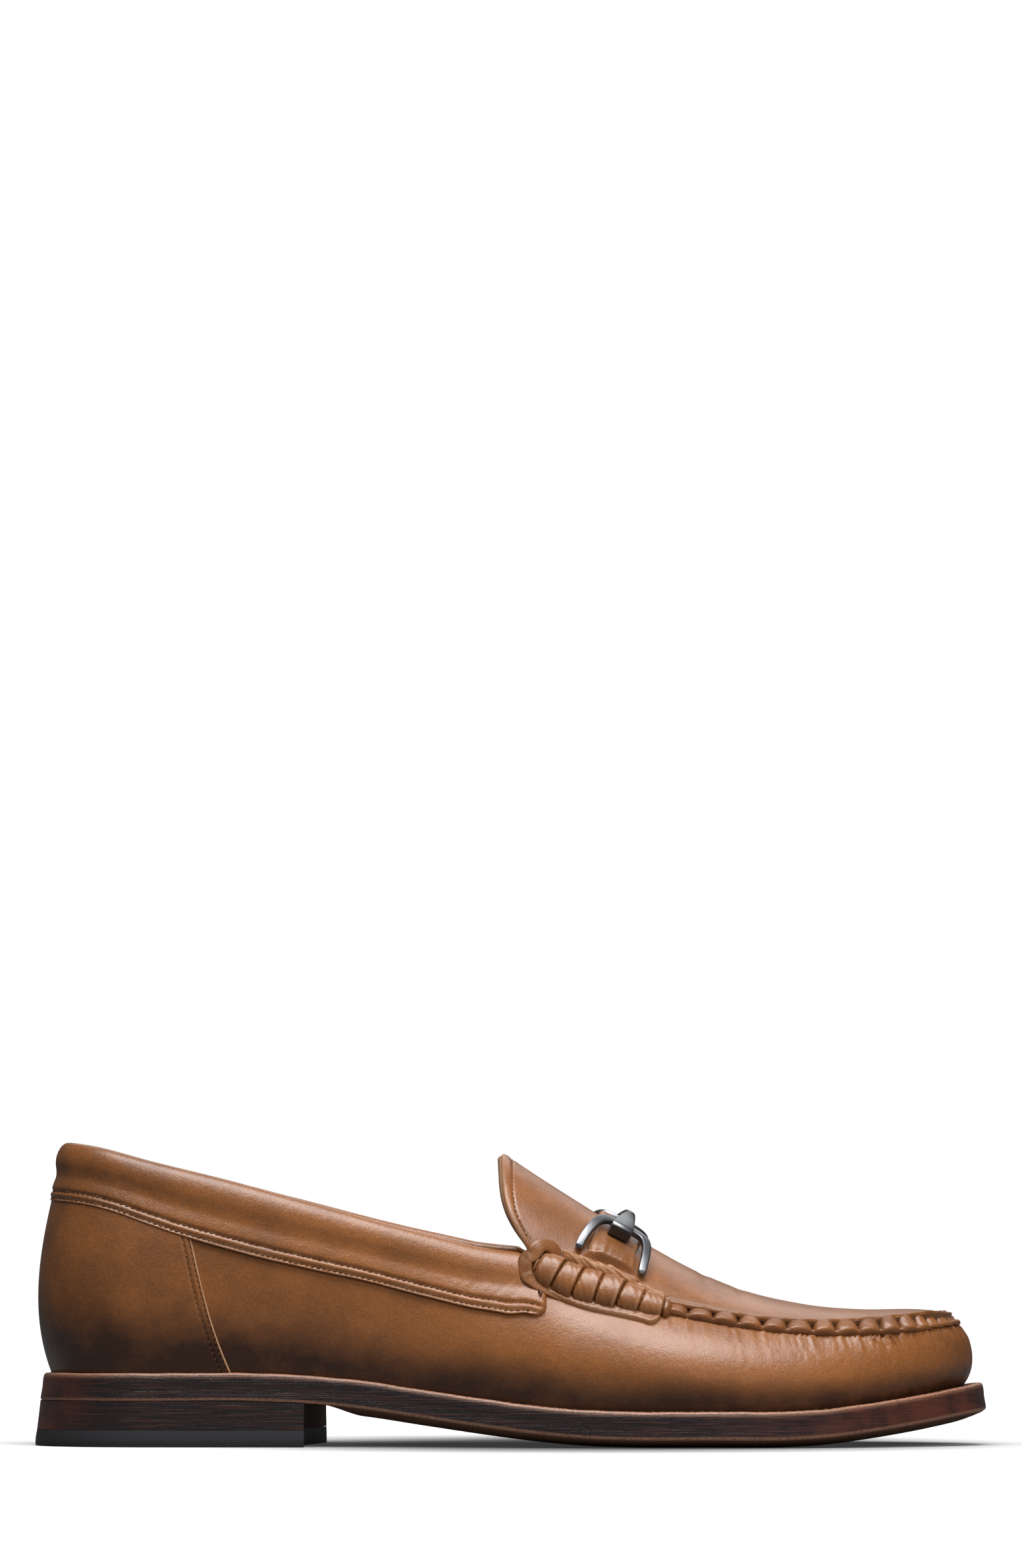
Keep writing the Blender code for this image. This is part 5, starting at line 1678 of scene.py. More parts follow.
def make_outsole(sizes, looks):
    """The outsole: a dressed side with eased corners, and a rounded natural tread."""
    u = even_u(560)

    def part_down(share):
        return lambda at: sole_bottom(at) + (side_line(at) - sole_bottom(at)) * share

    def up_side(share):
        return lambda at: side_line(at) + OUTSOLE_EDGE * share

    def groove(at):
        return part_down(0.17)(at) + 0.00025

    section = [
        (TREAD_MARGIN * 1.6, part_down(0.0), 0.0),
        (TREAD_MARGIN, part_down(0.02), 0.0),
        (TREAD_MARGIN * 0.74, part_down(0.10), 0.0),
        (TREAD_MARGIN * 0.66, part_down(0.13), 0.0),
        (TREAD_MARGIN * 0.62, groove, 0.0),
        (TREAD_MARGIN * 0.58, part_down(0.18), 0.0),
        (TREAD_MARGIN * 0.45, part_down(0.30), 0.0),
        (TREAD_MARGIN * 0.25, part_down(0.54), 0.0),
        (EDGE_BEVEL * 1.2, part_down(0.76), 0.08),
        (EDGE_BEVEL * 0.55, part_down(0.92), 0.40),
        (EDGE_BEVEL * 0.15, up_side(0.02), 0.75),
        (0.0, up_side(0.10), 1.0),
        (EDGE_FLARE * 0.05, up_side(0.22), 1.0),
        (EDGE_FLARE * 0.25, up_side(0.50), 1.0),
        (EDGE_FLARE * 0.45, up_side(0.80), 1.0),
        (EDGE_FLARE * 0.50, up_side(1.00), 1.0),
    ]
    loops = [loop_at(u, inset, height) for inset, height, _ in section]
    points, faces = closed_slab(loops)
    dressing = np.repeat([dressed for _, _, dressed in section], len(u))
    rubbed = np.repeat(np.interp(np.arange(16), [8, 9.3, 10.6, 11.4, 12], [0, 0.5, 0.75, 0.35, 0]), len(u))
    run = np.tile(u * OUTLINE_LENGTH, len(section))
    piece = put(
        "leather_outsole", points, faces, [looks["edge"]], None,
        {"dressing": dressing, "worn": rubbed, "run": run}, sharp=45,
    )
    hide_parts("outsole")


def make_welt(sizes, looks):
    """The welt: a strip round the sole's edge with a worn top corner."""
    u = even_u(560)

    def low(at):
        return side_line(at) + OUTSOLE_EDGE

    def top(drop):
        return lambda at: welt_top(at) - drop + 0.00012 * waves(at * SOLE_LENGTH, 81, (0.011, 0.019, 0.037))

    section = [
        (WELT_WIDTH, low, 1.0, 0.0),
        (EDGE_FLARE * 0.50, low, 1.0, 0.0),
        (EDGE_FLARE * 0.62, lambda at: low(at) + WELT * 0.5, 1.0, 0.0),
        (EDGE_FLARE * 0.80, top(0.0008), 1.0, 0.35),
        (EDGE_FLARE * 0.95, top(0.0004), 1.0, 0.85),
        (EDGE_FLARE * 1.25, top(0.0001), 1.0, 1.0),
        (EDGE_FLARE * 1.9, top(0.0), 1.0, 0.7),
        (EDGE_FLARE * 2.6, top(0.0), 1.0, 0.3),
        (WELT_WIDTH, top(0.0), 1.0, 0.0),
    ]
    grid = np.stack([loop_at(u, inset, height) for inset, height, _, _ in section])
    rows, count = grid.shape[:2]
    ring = np.arange(count)
    last = (rows - 1) * count
    closing = np.stack([last + ring, last + (ring + 1) % count, (ring + 1) % count, ring], -1)
    faces = [net(rows, count, 0, True), closing]
    dressing = np.repeat([dressed for _, _, dressed, _ in section], count)
    worn = np.repeat([wear for _, _, _, wear in section], count)
    run = np.tile(u * OUTLINE_LENGTH, rows)
    piece = put(
        "stitched_welt", grid.reshape(-1, 3), faces, [looks["edge"]], None,
        {"dressing": dressing, "worn": worn, "run": run}, sharp=60,
    )
    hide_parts("welt")


def make_welt_threads(sizes, looks):
    """The sole stitches along the welt, ahead of the heel on both sides and round the toe."""
    start = float(np.interp(0.33, station(HALF_U)[0], HALF_U))
    u = np.linspace(start, 1 - start, 900)
    at, _ = station(u)
    inset = 0.5 * (EDGE_FLARE + smooth(MARGIN, "inset", at)) + 0.0004
    plan = outline(u) - outward(u) * inset[:, None]
    height = welt_top(held(plan[:, 0] / SOLE_LENGTH)) - 0.0001
    path = np.concatenate([plan, height[:, None]], -1)
    out = np.broadcast_to([0.0, 0.0, 1.0], path.shape)
    rings = stitch_rings(path, out, WELT_STITCH, WELT_STITCH_LENGTH, sizes.thread, sizes.thread)
    piece = put_threads("welt_threads", [rings], looks["thread"])


def heel_plan(grow):
    """Round the back of the heel from the inner to the outer breast corner, and across the breast."""
    breast = HEEL_LENGTH / SOLE_LENGTH
    corner = float(np.interp(breast, station(HALF_U)[0], HALF_U))
    turn = np.linspace(-corner, corner, 181)
    back = outline(turn) + outward(turn) * grow
    back[:, 0] += BREAST_SKEW * held(-turn / corner) ** 6
    across = np.linspace(0, 1, 41)[:, None]
    front = back[-1] * (1 - across) + back[0] * across
    front[:, 0] -= BREAST_CURVE * np.sin(np.pi * across[:, 0])
    return back, front


def make_heel_piece(name, node, levels, looks_side, looks_front):
    """A heel solid through levels of (grow, height): its round side, its breast, and both ends."""
    sides, fronts = [], []
    for grow, height in levels:
        back, front = heel_plan(grow)
        sides.append(np.concatenate([back, height(back[:, 0] / SOLE_LENGTH)[:, None]], -1))
        fronts.append(np.concatenate([front, height(front[:, 0] / SOLE_LENGTH)[:, None]], -1))
    round_side, breast = np.stack(sides), np.stack(fronts)
    rows, n_side = round_side.shape[:2]
    n_front = breast.shape[1]
    points = np.concatenate([round_side.reshape(-1, 3), breast.reshape(-1, 3)])
    side_faces = net(rows, n_side)
    breast_start = rows * n_side
    breast_faces = net(rows, n_front, breast_start)
    low = np.concatenate([np.arange(n_side), breast_start + np.arange(1, n_front - 1)])
    top = np.concatenate([
        (rows - 1) * n_side + np.arange(n_side),
        breast_start + (rows - 1) * n_front + np.arange(1, n_front - 1),
    ])
    faces = [side_faces, breast_faces, low[None, ::-1], top[None]]
    kind = np.concatenate([np.zeros(len(side_faces)), np.ones(len(breast_faces)), [1, 0]])
    run = np.concatenate([
        np.tile(run_length(round_side[0]), rows),
        np.tile(run_length(breast[0]), rows),
    ])
    attributes = {"run": run, "dressing": np.ones(len(points))}
    piece = put(name, points, faces, [looks_side, looks_front], kind, attributes, sharp=45)
    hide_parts(node)


def make_heel(sizes, looks):
    """Stack and top lift, flared a little towards the floor."""

    def level(height):
        return lambda at: np.full(np.shape(at), height)

    def part_up(share):
        def height(at):
            under = side_line(held(at)) - 0.0001
            return (TOP_LIFT + 0.0001) * (1 - share) + under * share
        return height

    split = HEEL_FLARE * (1 - TOP_LIFT / HEEL_HEIGHT)
    stack = [(split * (1 - share), part_up(share)) for share in np.linspace(0, 1, 12)]
    make_heel_piece("stacked_heel", "heel_stack", stack, looks["edge"], looks["stack"])
    worn = 0.0005
    lift = [
        (HEEL_FLARE - worn, level(0.0)),
        (HEEL_FLARE - worn * 0.3, level(worn * 0.3)),
        (HEEL_FLARE, level(worn)),
        (HEEL_FLARE * 0.8 + split * 0.2, level(TOP_LIFT * 0.5)),
        (split, level(TOP_LIFT)),
    ]
    make_heel_piece("rubber_lift", "top_lift", lift, looks["rubber"], looks["rubber"])


def make_insole(sizes, looks):
    """The sock lining on its insole, with the filling that takes up the welt's opening."""
    u = even_u(320)
    at, _ = station(u)
    margin = smooth(MARGIN, "inset", at) + WALL + 2 * GAP

    def rise(extra):
        return lambda share: welt_top(share) + GAP + extra

    def floor(share):
        return side_line(share) + OUTSOLE_EDGE + GAP

    loops = [
        loop_at(u, WELT_WIDTH + GAP, floor),
        loop_at(u, WELT_WIDTH + GAP, rise(0)),
        loop_at(u, margin, rise(0)),
        loop_at(u, margin, rise(INSOLE * 0.7)),
        loop_at(u, margin + 0.0004, rise(INSOLE * 0.95)),
        loop_at(u, margin + 0.0010, rise(INSOLE)),
    ]
    points, faces = closed_slab(loops)
    piece = put("sock_lining", points, faces, [looks["sock"]], sharp=50)
    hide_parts("insole")


# Materials


def rgb(red, green, blue):
    """A colour given in screen values, 0 to 255, as the linear values that shaders use."""
    screen = np.array([red, green, blue]) / 255
    return (*np.where(screen <= 0.04045, screen / 12.92, ((screen + 0.055) / 1.055) ** 2.4), 1.0)


def feed(tree, node, inputs):
    """Gives a node its inputs, by name or number, as values or as sockets."""
    for name, value in inputs.items():
        socket = node.inputs[name]
        if isinstance(value, bpy.types.NodeSocket):
            tree.links.new(value, socket)
        else:
            socket.default_value = value


def add_node(tree, kind, inputs=None, **settings):
    """One shader node with its settings and inputs."""
    made = tree.nodes.new(kind)
    for name, value in settings.items():
        setattr(made, name, value)
    feed(tree, made, inputs or {})
    return made


def calculate(tree, operation, first, second=0.0, clamp=False):
    """The result of one math node on two values."""
    made = add_node(tree, "ShaderNodeMath", {0: first, 1: second}, operation=operation, use_clamp=clamp)
    return made.outputs[0]


def plus(tree, first, second, clamp=False):
    """The first value plus the second."""
    return calculate(tree, "ADD", first, second, clamp)


def times(tree, first, second, clamp=False):
    """The first value times the second."""
    return calculate(tree, "MULTIPLY", first, second, clamp)


def mix(tree, share, first, second, kind="MIX"):
    """Two colours mixed by a share."""
    inputs = {0: share, 6: first, 7: second}
    made = add_node(tree, "ShaderNodeMix", inputs, data_type="RGBA", blend_type=kind)
    return made.outputs[2]


def grey(tree, value):
    """A grey of one value."""
    return add_node(tree, "ShaderNodeCombineColor", {0: value, 1: value, 2: value}).outputs[0]


def remap(tree, value, low, high, to_low=0.0, to_high=1.0):
    """A value carried from one range to another, with soft ends."""
    inputs = {"Value": value, "From Min": low, "From Max": high, "To Min": to_low, "To Max": to_high}
    made = add_node(tree, "ShaderNodeMapRange", inputs, interpolation_type="SMOOTHSTEP")
    return made.outputs[0]


def noise(tree, place, scale, detail=3.0, roughness=0.55):
    """A noise of a given scale at a place."""
    inputs = {"Vector": place, "Scale": scale, "Detail": detail, "Roughness": roughness}
    return add_node(tree, "ShaderNodeTexNoise", inputs).outputs["Fac"]


def own_place(tree):
    """The point's place in its object, in metres."""
    return add_node(tree, "ShaderNodeTexCoord").outputs["Object"]


def attribute(tree, name):
    """A value that the mesh keeps at its points."""
    return add_node(tree, "ShaderNodeAttribute", attribute_name=name).outputs["Fac"]


def arrange(tree):
    """Lays the nodes out in columns, each to the left of what it feeds."""
    depth = {node.name: 0 for node in tree.nodes}
    for _ in range(len(tree.nodes)):
        for link in tree.links:
            behind = depth[link.to_node.name] + 1
            depth[link.from_node.name] = max(depth[link.from_node.name], behind)
    filled = {}
    for node in tree.nodes:
        column = depth[node.name]
        row = filled.get(column, 0)
        filled[column] = row + 1
        node.location = (-260 * column, -320 * row)


def group(name, inputs, outputs):
    """A new node group with named sockets; returns its tree, its input sockets and its output node."""
    tree = bpy.data.node_groups.new(name, "ShaderNodeTree")
    for label, kind, value in inputs:
        socket = tree.interface.new_socket(label, in_out="INPUT", socket_type="NodeSocket" + kind)
        socket.default_value = value
    for label, kind in outputs:
        tree.interface.new_socket(label, in_out="OUTPUT", socket_type="NodeSocket" + kind)
    start = tree.nodes.new("NodeGroupInput")
    end = tree.nodes.new("NodeGroupOutput")
    return tree, {socket.name: socket for socket in start.outputs if socket.name}, end


def grain_group():
    """Leather grain: small cells with fine noise as a bump, and a slow unevenness."""
    tree, given, end = group(
        "leather_grain",
        [("Cell", "Float", 0.0007), ("Depth", "Float", 0.00006), ("Fibre", "Float", 0.0)],
        [("Normal", "Vector"), ("Mottle", "Float"), ("Fine", "Float")],
    )
    place = own_place(tree)
    scale = calculate(tree, "DIVIDE", 1.0, given["Cell"])
    cells = add_node(
        tree, "ShaderNodeTexVoronoi", {"Vector": place, "Scale": scale}, feature="DISTANCE_TO_EDGE"
    )
    pebble = remap(tree, cells.outputs["Distance"], 0.0, 0.22)
    fine = noise(tree, place, times(tree, scale, 1.7), 3.0, 0.55)
    soft = noise(tree, place, times(tree, scale, 0.35), 3.0)
    height = plus(tree, times(tree, pebble, 0.05), fine)
    height = plus(tree, height, times(tree, soft, 1.2))
    rough = noise(tree, place, 5200.0, 4.0, 0.7)
    fibrous = times(tree, times(tree, rough, given["Fibre"]), 4.0)
    height = plus(tree, height, fibrous)
    bump = add_node(tree, "ShaderNodeBump", {"Distance": given["Depth"], "Height": height, "Strength": 1.0})
    mottle = noise(tree, place, 70.0, 5.0, 0.62)
    feed(tree, end, {"Normal": bump.outputs["Normal"], "Mottle": mottle, "Fine": fine})
    arrange(tree)
    return tree


def tone_group():
    """Leather colour: darker where burnished and where shade is painted, paler and dull where a raw edge
    shows.
    """
    tree, given, end = group(
        "leather_tone",
        [
            ("Base", "Color", rgb(142, 95, 58)),
            ("Dark", "Color", rgb(60, 36, 22)),
            ("Pale", "Color", rgb(190, 145, 105)),
            ("Burnish and shade", "Float", 0.0),
            ("Raw", "Float", 0.0),
            ("Mottle", "Float", 0.5),
            ("Fine", "Float", 0.5),
        ],
        [("Color", "Color"), ("Roughness", "Float"), ("Coat", "Float")],
    )
    uneven = remap(tree, given["Mottle"], 0.30, 0.70, -0.16, 0.16)
    dark = plus(tree, given["Burnish and shade"], uneven, True)
    colour = mix(tree, dark, given["Base"], given["Dark"])
    speck = remap(tree, given["Fine"], 0.38, 0.62, 0.86, 1.10)
    speckled = mix(tree, 1.0, colour, grey(tree, speck), "MULTIPLY")
    worn = plus(tree, given["Raw"], times(tree, uneven, 1.2))
    worn = times(tree, worn, remap(tree, given["Raw"], 0.0, 0.12), True)
    colour = mix(tree, worn, speckled, given["Pale"])
    rough = plus(tree, 0.35, times(tree, worn, 0.45))
    rough = plus(tree, rough, times(tree, uneven, 0.35))
    coat = remap(tree, worn, 0.0, 0.5, 0.28, 0.0)
    feed(tree, end, {"Color": colour, "Roughness": rough, "Coat": coat})
    arrange(tree)
    return tree


def dressing_group():
    """Sole edges: near-black dressing with brushed streaks that gives way to plain leather below."""
    tree, given, end = group(
        "edge_dressing",
        [
            ("Dressed", "Color", rgb(30, 24, 25)),
            ("Worn", "Color", rgb(92, 48, 34)),
            ("Rubbed", "Color", rgb(176, 128, 102)),
            ("Plain", "Color", rgb(112, 76, 52)),
            ("Dressing", "Float", 1.0),
            ("Rub", "Float", 0.0),
            ("Run", "Float", 0.0),
        ],
        [("Color", "Color"), ("Roughness", "Float"), ("Normal", "Vector"), ("Coat", "Float")],
    )
    place = own_place(tree)
    parts = add_node(tree, "ShaderNodeSeparateXYZ", {0: place})
    along = times(tree, given["Run"], 45.0)
    up = times(tree, parts.outputs["Z"], 2600.0)
    streak_place = add_node(tree, "ShaderNodeCombineXYZ", {0: along, 1: up}).outputs[0]
    streaks = noise(tree, streak_place, 1.0, 3.0, 0.6)
    blotch = noise(tree, place, 55.0, 4.0, 0.6)
    crumbs = noise(tree, place, 1500.0, 3.0, 0.7)
    ragged = times(tree, calculate(tree, "SUBTRACT", crumbs, 0.5), 0.55)
    slow = times(tree, calculate(tree, "SUBTRACT", blotch, 0.5), 0.6)
    amount = plus(tree, plus(tree, given["Dressing"], ragged), slow)
    dressed = remap(tree, amount, 0.36, 0.52)
    ends = remap(tree, parts.outputs["X"], 0.150, 0.255)
    heel = remap(tree, parts.outputs["X"], -0.020, -0.042)
    worn = plus(tree, ends, heel, True)
    worn = times(tree, worn, remap(tree, blotch, 0.40, 0.62, 0.15, 0.85))
    worn = plus(tree, worn, remap(tree, streaks, 0.48, 0.72, 0.0, 0.55), True)
    edge = mix(tree, worn, given["Dressed"], given["Worn"])
    rub = times(tree, given["Rub"], remap(tree, crumbs, 0.30, 0.58, 0.35, 1.0), True)
    edge = mix(tree, rub, edge, given["Rubbed"])
    shade = remap(tree, crumbs, 0.3, 0.7, 0.75, 1.15)
    plain = mix(tree, 1.0, given["Plain"], grey(tree, shade), "MULTIPLY")
    colour = mix(tree, dressed, plain, edge)
    bare = calculate(tree, "SUBTRACT", 1.0, dressed)
    rough = plus(tree, 0.34, times(tree, bare, 0.34))
    rough = plus(tree, rough, times(tree, worn, 0.16))
    height = plus(tree, streaks, times(tree, crumbs, 0.8))
    bump = add_node(tree, "ShaderNodeBump", {"Distance": 0.00013, "Height": height})
    coat = remap(tree, dressed, 0.0, 1.0, 0.0, 0.12)
    feed(tree, end, {"Color": colour, "Roughness": rough, "Normal": bump.outputs["Normal"], "Coat": coat})
    arrange(tree)
    return tree


def shader_of(name, roughness=0.5, metallic=0.0):
    """A new material with its Principled shader and node tree."""
    material = bpy.data.materials.new(name)
    material.use_nodes = True
    tree = material.node_tree
    shader = tree.nodes["Principled BSDF"]
    feed(tree, shader, {"Roughness": roughness, "Metallic": metallic})
    return material, tree, shader


def use_group(tree, shared, inputs):
    """The outputs of a shared node group with its inputs given."""
    return add_node(tree, "ShaderNodeGroup", inputs, node_tree=shared).outputs


def leather(name, shared, base, dark, pale, cell=0.0008, depth=0.00012, fibre=0.0, raw=None):
    """A leather: grain and tone from the shared groups, driven by the mesh's own values."""
    material, tree, shader = shader_of(name)
    grain = use_group(tree, shared["grain"], {"Cell": cell, "Depth": depth, "Fibre": fibre})
    tone = use_group(
        tree,
        shared["tone"],
        {
            "Base": base,
            "Dark": dark,
            "Pale": pale,
            "Burnish and shade": attribute(tree, "burnish_and_shade"),
            "Raw": attribute(tree, "raw") if raw is None else raw,
            "Mottle": grain["Mottle"],
            "Fine": grain["Fine"],
        },
    )
    surface = {
        "Base Color": tone["Color"],
        "Roughness": tone["Roughness"],
        "Normal": grain["Normal"],
        "Specular IOR Level": 0.5,
        "Coat Weight": tone["Coat"],
        "Coat Roughness": 0.27,
    }
    feed(tree, shader, surface)
    arrange(tree)
    return material


def dressed(name, shared, plain, dressing=None):
    """A sole edge: dressing over plain leather."""
    material, tree, shader = shader_of(name)
    out = use_group(
        tree,
        shared["dressing"],
        {
            "Plain": plain,
            "Dressing": attribute(tree, "dressing") if dressing is None else dressing,
            "Rub": attribute(tree, "worn"),
            "Run": attribute(tree, "run"),
        },
    )
    surface = {
        "Base Color": out["Color"],
        "Roughness": out["Roughness"],
        "Normal": out["Normal"],
        "Coat Weight": out["Coat"],
        "Coat Roughness": 0.25,
    }
    feed(tree, shader, surface)
    arrange(tree)
    return material


def plain_look(name, colour, roughness, metallic=0.0, size=0.0008, depth=0.00002):
    """One even colour with a fine bump."""
    material, tree, shader = shader_of(name, roughness, metallic)
    height = noise(tree, own_place(tree), 1 / size, 3.0)
    bump = add_node(tree, "ShaderNodeBump", {"Distance": depth, "Height": height})
    feed(tree, shader, {"Base Color": colour, "Normal": bump.outputs["Normal"]})
    arrange(tree)
    return material


def make_looks():
    """All the materials by name, made once."""
    if "calf" in LOOKS:
        return LOOKS
    shared = {"grain": grain_group(), "tone": tone_group(), "dressing": dressing_group()}
    tan = rgb(144, 90, 48)
    deep = rgb(54, 29, 13)
    pale = rgb(192, 148, 112)
    LOOKS["calf"] = leather("calf", shared, tan, deep, pale)
    LOOKS["strap"] = leather("strap_leather", shared, rgb(144, 92, 52), deep, pale, depth=0.00009)
    LOOKS["raw"] = leather(
        "raw_edge", shared, rgb(150, 108, 76), deep, pale, 0.0005, 0.00010, 1.0, raw=0.35
    )
    LOOKS["lining"] = leather("lining", shared, rgb(168, 128, 92), deep, pale, 0.0006, 0.00003, raw=0.1)
    LOOKS["sock"] = leather("sock", shared, rgb(172, 130, 92), deep, pale, 0.0006, 0.00004, raw=0.1)
    LOOKS["edge"] = dressed("sole_edge", shared, rgb(108, 72, 48))
    LOOKS["stack"] = dressed("heel_breast", shared, rgb(128, 84, 54), 0.2)
    LOOKS["rubber"] = plain_look("rubber", rgb(43, 41, 44), 0.55, size=0.0005, depth=0.00005)
    LOOKS["thread"] = plain_look("thread", rgb(104, 68, 42), 0.6, size=0.0003, depth=0.00006)
    LOOKS["metal"] = plain_look("nickel", rgb(138, 139, 143), 0.36, 1.0, size=0.0012, depth=0.00001)
    # A darker copy of the nickel for the bar's end caps: painted shade.
    LOOKS["dark_metal"] = plain_look(
        "painted_shade_nickel", rgb(78, 79, 84), 0.40, 0.85, size=0.0012, depth=0.00001
    )
    return LOOKS


LOOKS = {}


# Floor, light and camera


def distance_from(tree, place):
    """How far each point is from a place."""
    inputs = {0: own_place(tree), 1: place}
    return add_node(tree, "ShaderNodeVectorMath", inputs, operation="DISTANCE").outputs["Value"]


def stage_floor():
    """A pale floor that glows to the camera far off, with a soft shadow painted into its colour round the
    forepart.
    """
    material, tree, shader = shader_of("floor", 0.9)
    seen = add_node(tree, "ShaderNodeLightPath").outputs["Is Camera Ray"]
    away = distance_from(tree, STAGE_MIDDLE)
    glow = times(tree, seen, remap(tree, away, 0.22, 0.75, 0.04, 1.0))
    # The shadow under the shoe is painted into the floor's colour: darkest near the forepart's middle,
    # fading out by the far reach.
    shade = remap(tree, distance_from(tree, PAINTED_SHADOW_MIDDLE), PAINTED_SHADOW_NEAR, PAINTED_SHADOW_FAR)
    pale = mix(tree, shade, (0.05, 0.05, 0.05, 1), (0.82, 0.82, 0.82, 1))
    surface = {
        "Base Color": mix(tree, seen, (0.14, 0.14, 0.14, 1), pale),
        "Specular IOR Level": 0.0,
        "Emission Color": (1, 1, 1, 1),
        "Emission Strength": glow,
    }
    feed(tree, shader, surface)
    arrange(tree)
    mesh = bpy.data.meshes.new("floor")
    corners = [(-6, -1.9, 0), (6, -1.9, 0), (6, 9, 0), (-6, 9, 0)]
    mesh.from_pydata(corners, [], [(0, 1, 2, 3)])
    mesh.materials.append(material)
    return add_object("floor", mesh)


def stage_lights():
    """The soft lights, each turned to the middle of the shoe."""
    for name, place, (width, depth), power, mirrored in LIGHTS:
        data = bpy.data.lights.new(name, "AREA")
        data.shape = "RECTANGLE"
        data.size, data.size_y = width, depth
        data.energy = power
        lamp = add_object(name, data)
        lamp.location = place
        lamp.visible_glossy = mirrored
        towards = Vector(LIGHT_TARGET) - lamp.location
        lamp.rotation_euler = towards.to_track_quat("-Z", "Y").to_euler()


def stage_world():
    """A world that is white to the camera and lights the shoe only a little."""
    world = bpy.data.worlds.new("studio")
    world.use_nodes = True
    sky = world.node_tree
    path = add_node(sky, "ShaderNodeLightPath")
    strength = remap(sky, path.outputs["Is Camera Ray"], 0.0, 1.0, 0.08, 1.05)
    feed(sky, sky.nodes["Background"], {"Color": (1, 1, 1, 1), "Strength": strength})
    bpy.context.scene.world = world


def stage_camera():
    """The photo's camera: level, from the outer side, shifted up the picture by its view's middle."""
    data = bpy.data.cameras.new("camera")
    data.sensor_width = 36.0
    data.lens = data.sensor_width * CAMERA_DISTANCE / VIEW_HEIGHT
    data.shift_y = (VIEW_MIDDLE - CAMERA_HEIGHT) / VIEW_HEIGHT
    data.clip_start = 0.05
    camera = add_object("camera", data)
    camera.location = (CAMERA_ALONG, -CAMERA_DISTANCE, CAMERA_HEIGHT)
    camera.rotation_euler = (np.pi / 2, 0, 0)
    bpy.context.scene.camera = camera
    return camera


def make_stage(sizes, looks):
    """A pale floor, soft lights from above and behind, and the photo's level view from the outer side."""
    floor = stage_floor()
    stage_lights()
    stage_world()
    camera = stage_camera()
    bpy.context.scene.view_settings.view_transform = "Standard"


# Add-on: sizes, operators and panel


def length_setting(name, description, default, low, high):
    """A length that the panel shows."""
    return bpy.props.FloatProperty(
        name=name,
        description=description,
        default=default,
        min=low,
        max=high,
        precision=5,
        subtype="DISTANCE",
        unit="LENGTH",
    )


class LoaferSizes(bpy.types.PropertyGroup):
    """Sizes of the shoe's fine work"""

    stitch: length_setting("Stitch", "Length of one machine stitch", 0.0018, 0.0010, 0.0040)
    thread: length_setting("Thread", "Radius of the sewing thread", 0.00025, 0.0001, 0.0010)
    groove: length_setting("Groove", "How deep a stitch row sinks", 0.00045, 0.0, 0.0015)
    pucker: length_setting("Pucker", "Pucker spacing along the sides", 0.0076, 0.0040, 0.0120)
    toe_pucker: length_setting("Toe pucker", "Pucker spacing round the toe", 0.0060, 0.0030, 0.0120)
    pucker_height: length_setting("Pucker height", "How far the puckers swell", 0.0034, 0.0010, 0.0060)
    gather: length_setting("Gathers", "Height of the small folds under the puckers", 0.00020, 0.0, 0.0010)
    wrap: length_setting("Wrap", "Width of one turn of a beef roll", 0.0069, 0.0040, 0.0120)


def build(context, *makers):
    """Runs makers with the scene's sizes and the shared materials."""
    sizes = context.scene.loafer_sizes
    looks = make_looks()
    for maker in makers:
        maker(sizes, looks)
    return {"FINISHED"}


class LOAFER_OT_sole(bpy.types.Operator):
    """Adds the outsole, welt, heel and insole"""

    bl_idname = "loafer.sole"
    bl_label = "Sole and heel"

    def execute(self, context):
        return build(context, make_outsole, make_welt, make_welt_threads, make_heel, make_insole)


class LOAFER_OT_upper(bpy.types.Operator):
    """Adds the quarters, vamp and counter panel"""

    bl_idname = "loafer.upper"
    bl_label = "Quarters and vamp"

    def execute(self, context):
        return build(context, make_wall, make_counter, make_counter_threads)


class LOAFER_OT_collar(bpy.types.Operator):
    """Adds the padded collar band and its stitching"""

    bl_idname = "loafer.collar"
    bl_label = "Collar band"

    def execute(self, context):
        return build(context, make_band, make_band_threads)


class LOAFER_OT_plug(bpy.types.Operator):
    """Adds the plug and tongue"""

    bl_idname = "loafer.plug"
    bl_label = "Plug and tongue"

    def execute(self, context):
        return build(context, make_plug, make_plug_lining, make_tongue_threads)


class LOAFER_OT_seam(bpy.types.Operator):
    """Adds the puckered moccasin seam"""

    bl_idname = "loafer.seam"
    bl_label = "Moccasin seam"

    def execute(self, context):
        return build(context, make_puckers, make_pucker_leaves)


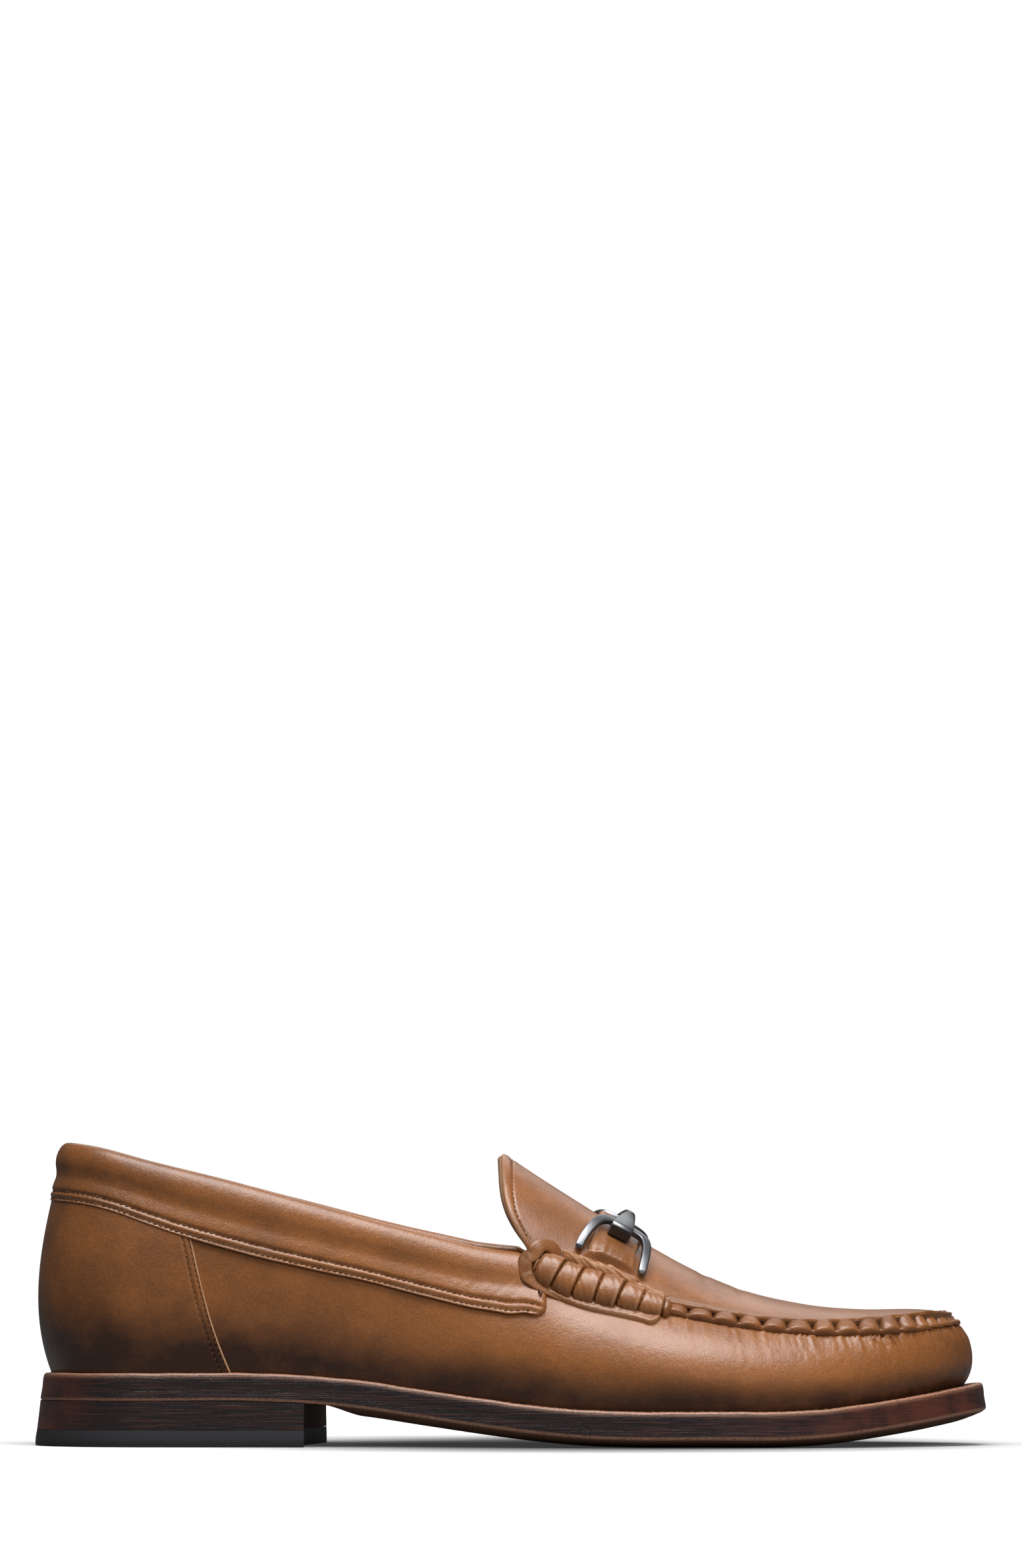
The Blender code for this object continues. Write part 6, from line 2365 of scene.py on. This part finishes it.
class LOAFER_OT_saddle(bpy.types.Operator):
    """Adds the saddle strap with its beef rolls"""

    bl_idname = "loafer.saddle"
    bl_label = "Strap and beef rolls"

    def execute(self, context):
        return build(context, make_strap, make_rolls)


class LOAFER_OT_bit(bpy.types.Operator):
    """Adds the metal bit"""

    bl_idname = "loafer.bit"
    bl_label = "Bit"

    def execute(self, context):
        return build(context, make_bit_bar, make_half_rings)


class LOAFER_OT_stage(bpy.types.Operator):
    """Adds the floor, lights and camera"""

    bl_idname = "loafer.stage"
    bl_label = "Stage"

    def execute(self, context):
        return build(context, make_stage)


class LOAFER_PT_panel(bpy.types.Panel):
    """Sizes and builders of the loafer"""

    bl_idname = "LOAFER_PT_panel"
    bl_label = "Bit loafer"
    bl_space_type = "VIEW_3D"
    bl_region_type = "UI"
    bl_category = "Loafer"

    def draw(self, context):
        sizes = context.scene.loafer_sizes
        for name in LoaferSizes.__annotations__:
            self.layout.prop(sizes, name)
        for operator in OPERATORS:
            self.layout.operator(operator.bl_idname)


OPERATORS = (
    LOAFER_OT_sole,
    LOAFER_OT_upper,
    LOAFER_OT_collar,
    LOAFER_OT_plug,
    LOAFER_OT_seam,
    LOAFER_OT_saddle,
    LOAFER_OT_bit,
    LOAFER_OT_stage,
)
CLASSES = (LoaferSizes, *OPERATORS, LOAFER_PT_panel)


def register():
    """Adds the classes and the scene's sizes."""
    for made in CLASSES:
        bpy.utils.register_class(made)
    bpy.types.Scene.loafer_sizes = bpy.props.PointerProperty(type=LoaferSizes)


def unregister():
    """Takes them away again, last first."""
    del bpy.types.Scene.loafer_sizes
    for made in reversed(CLASSES):
        bpy.utils.unregister_class(made)


def main():
    """Builds everything through the operators."""
    register()
    bpy.ops.loafer.sole()
    bpy.ops.loafer.upper()
    bpy.ops.loafer.collar()
    bpy.ops.loafer.plug()
    bpy.ops.loafer.seam()
    bpy.ops.loafer.saddle()
    bpy.ops.loafer.bit()
    bpy.ops.loafer.stage()


if __name__ == "__main__":
    main()
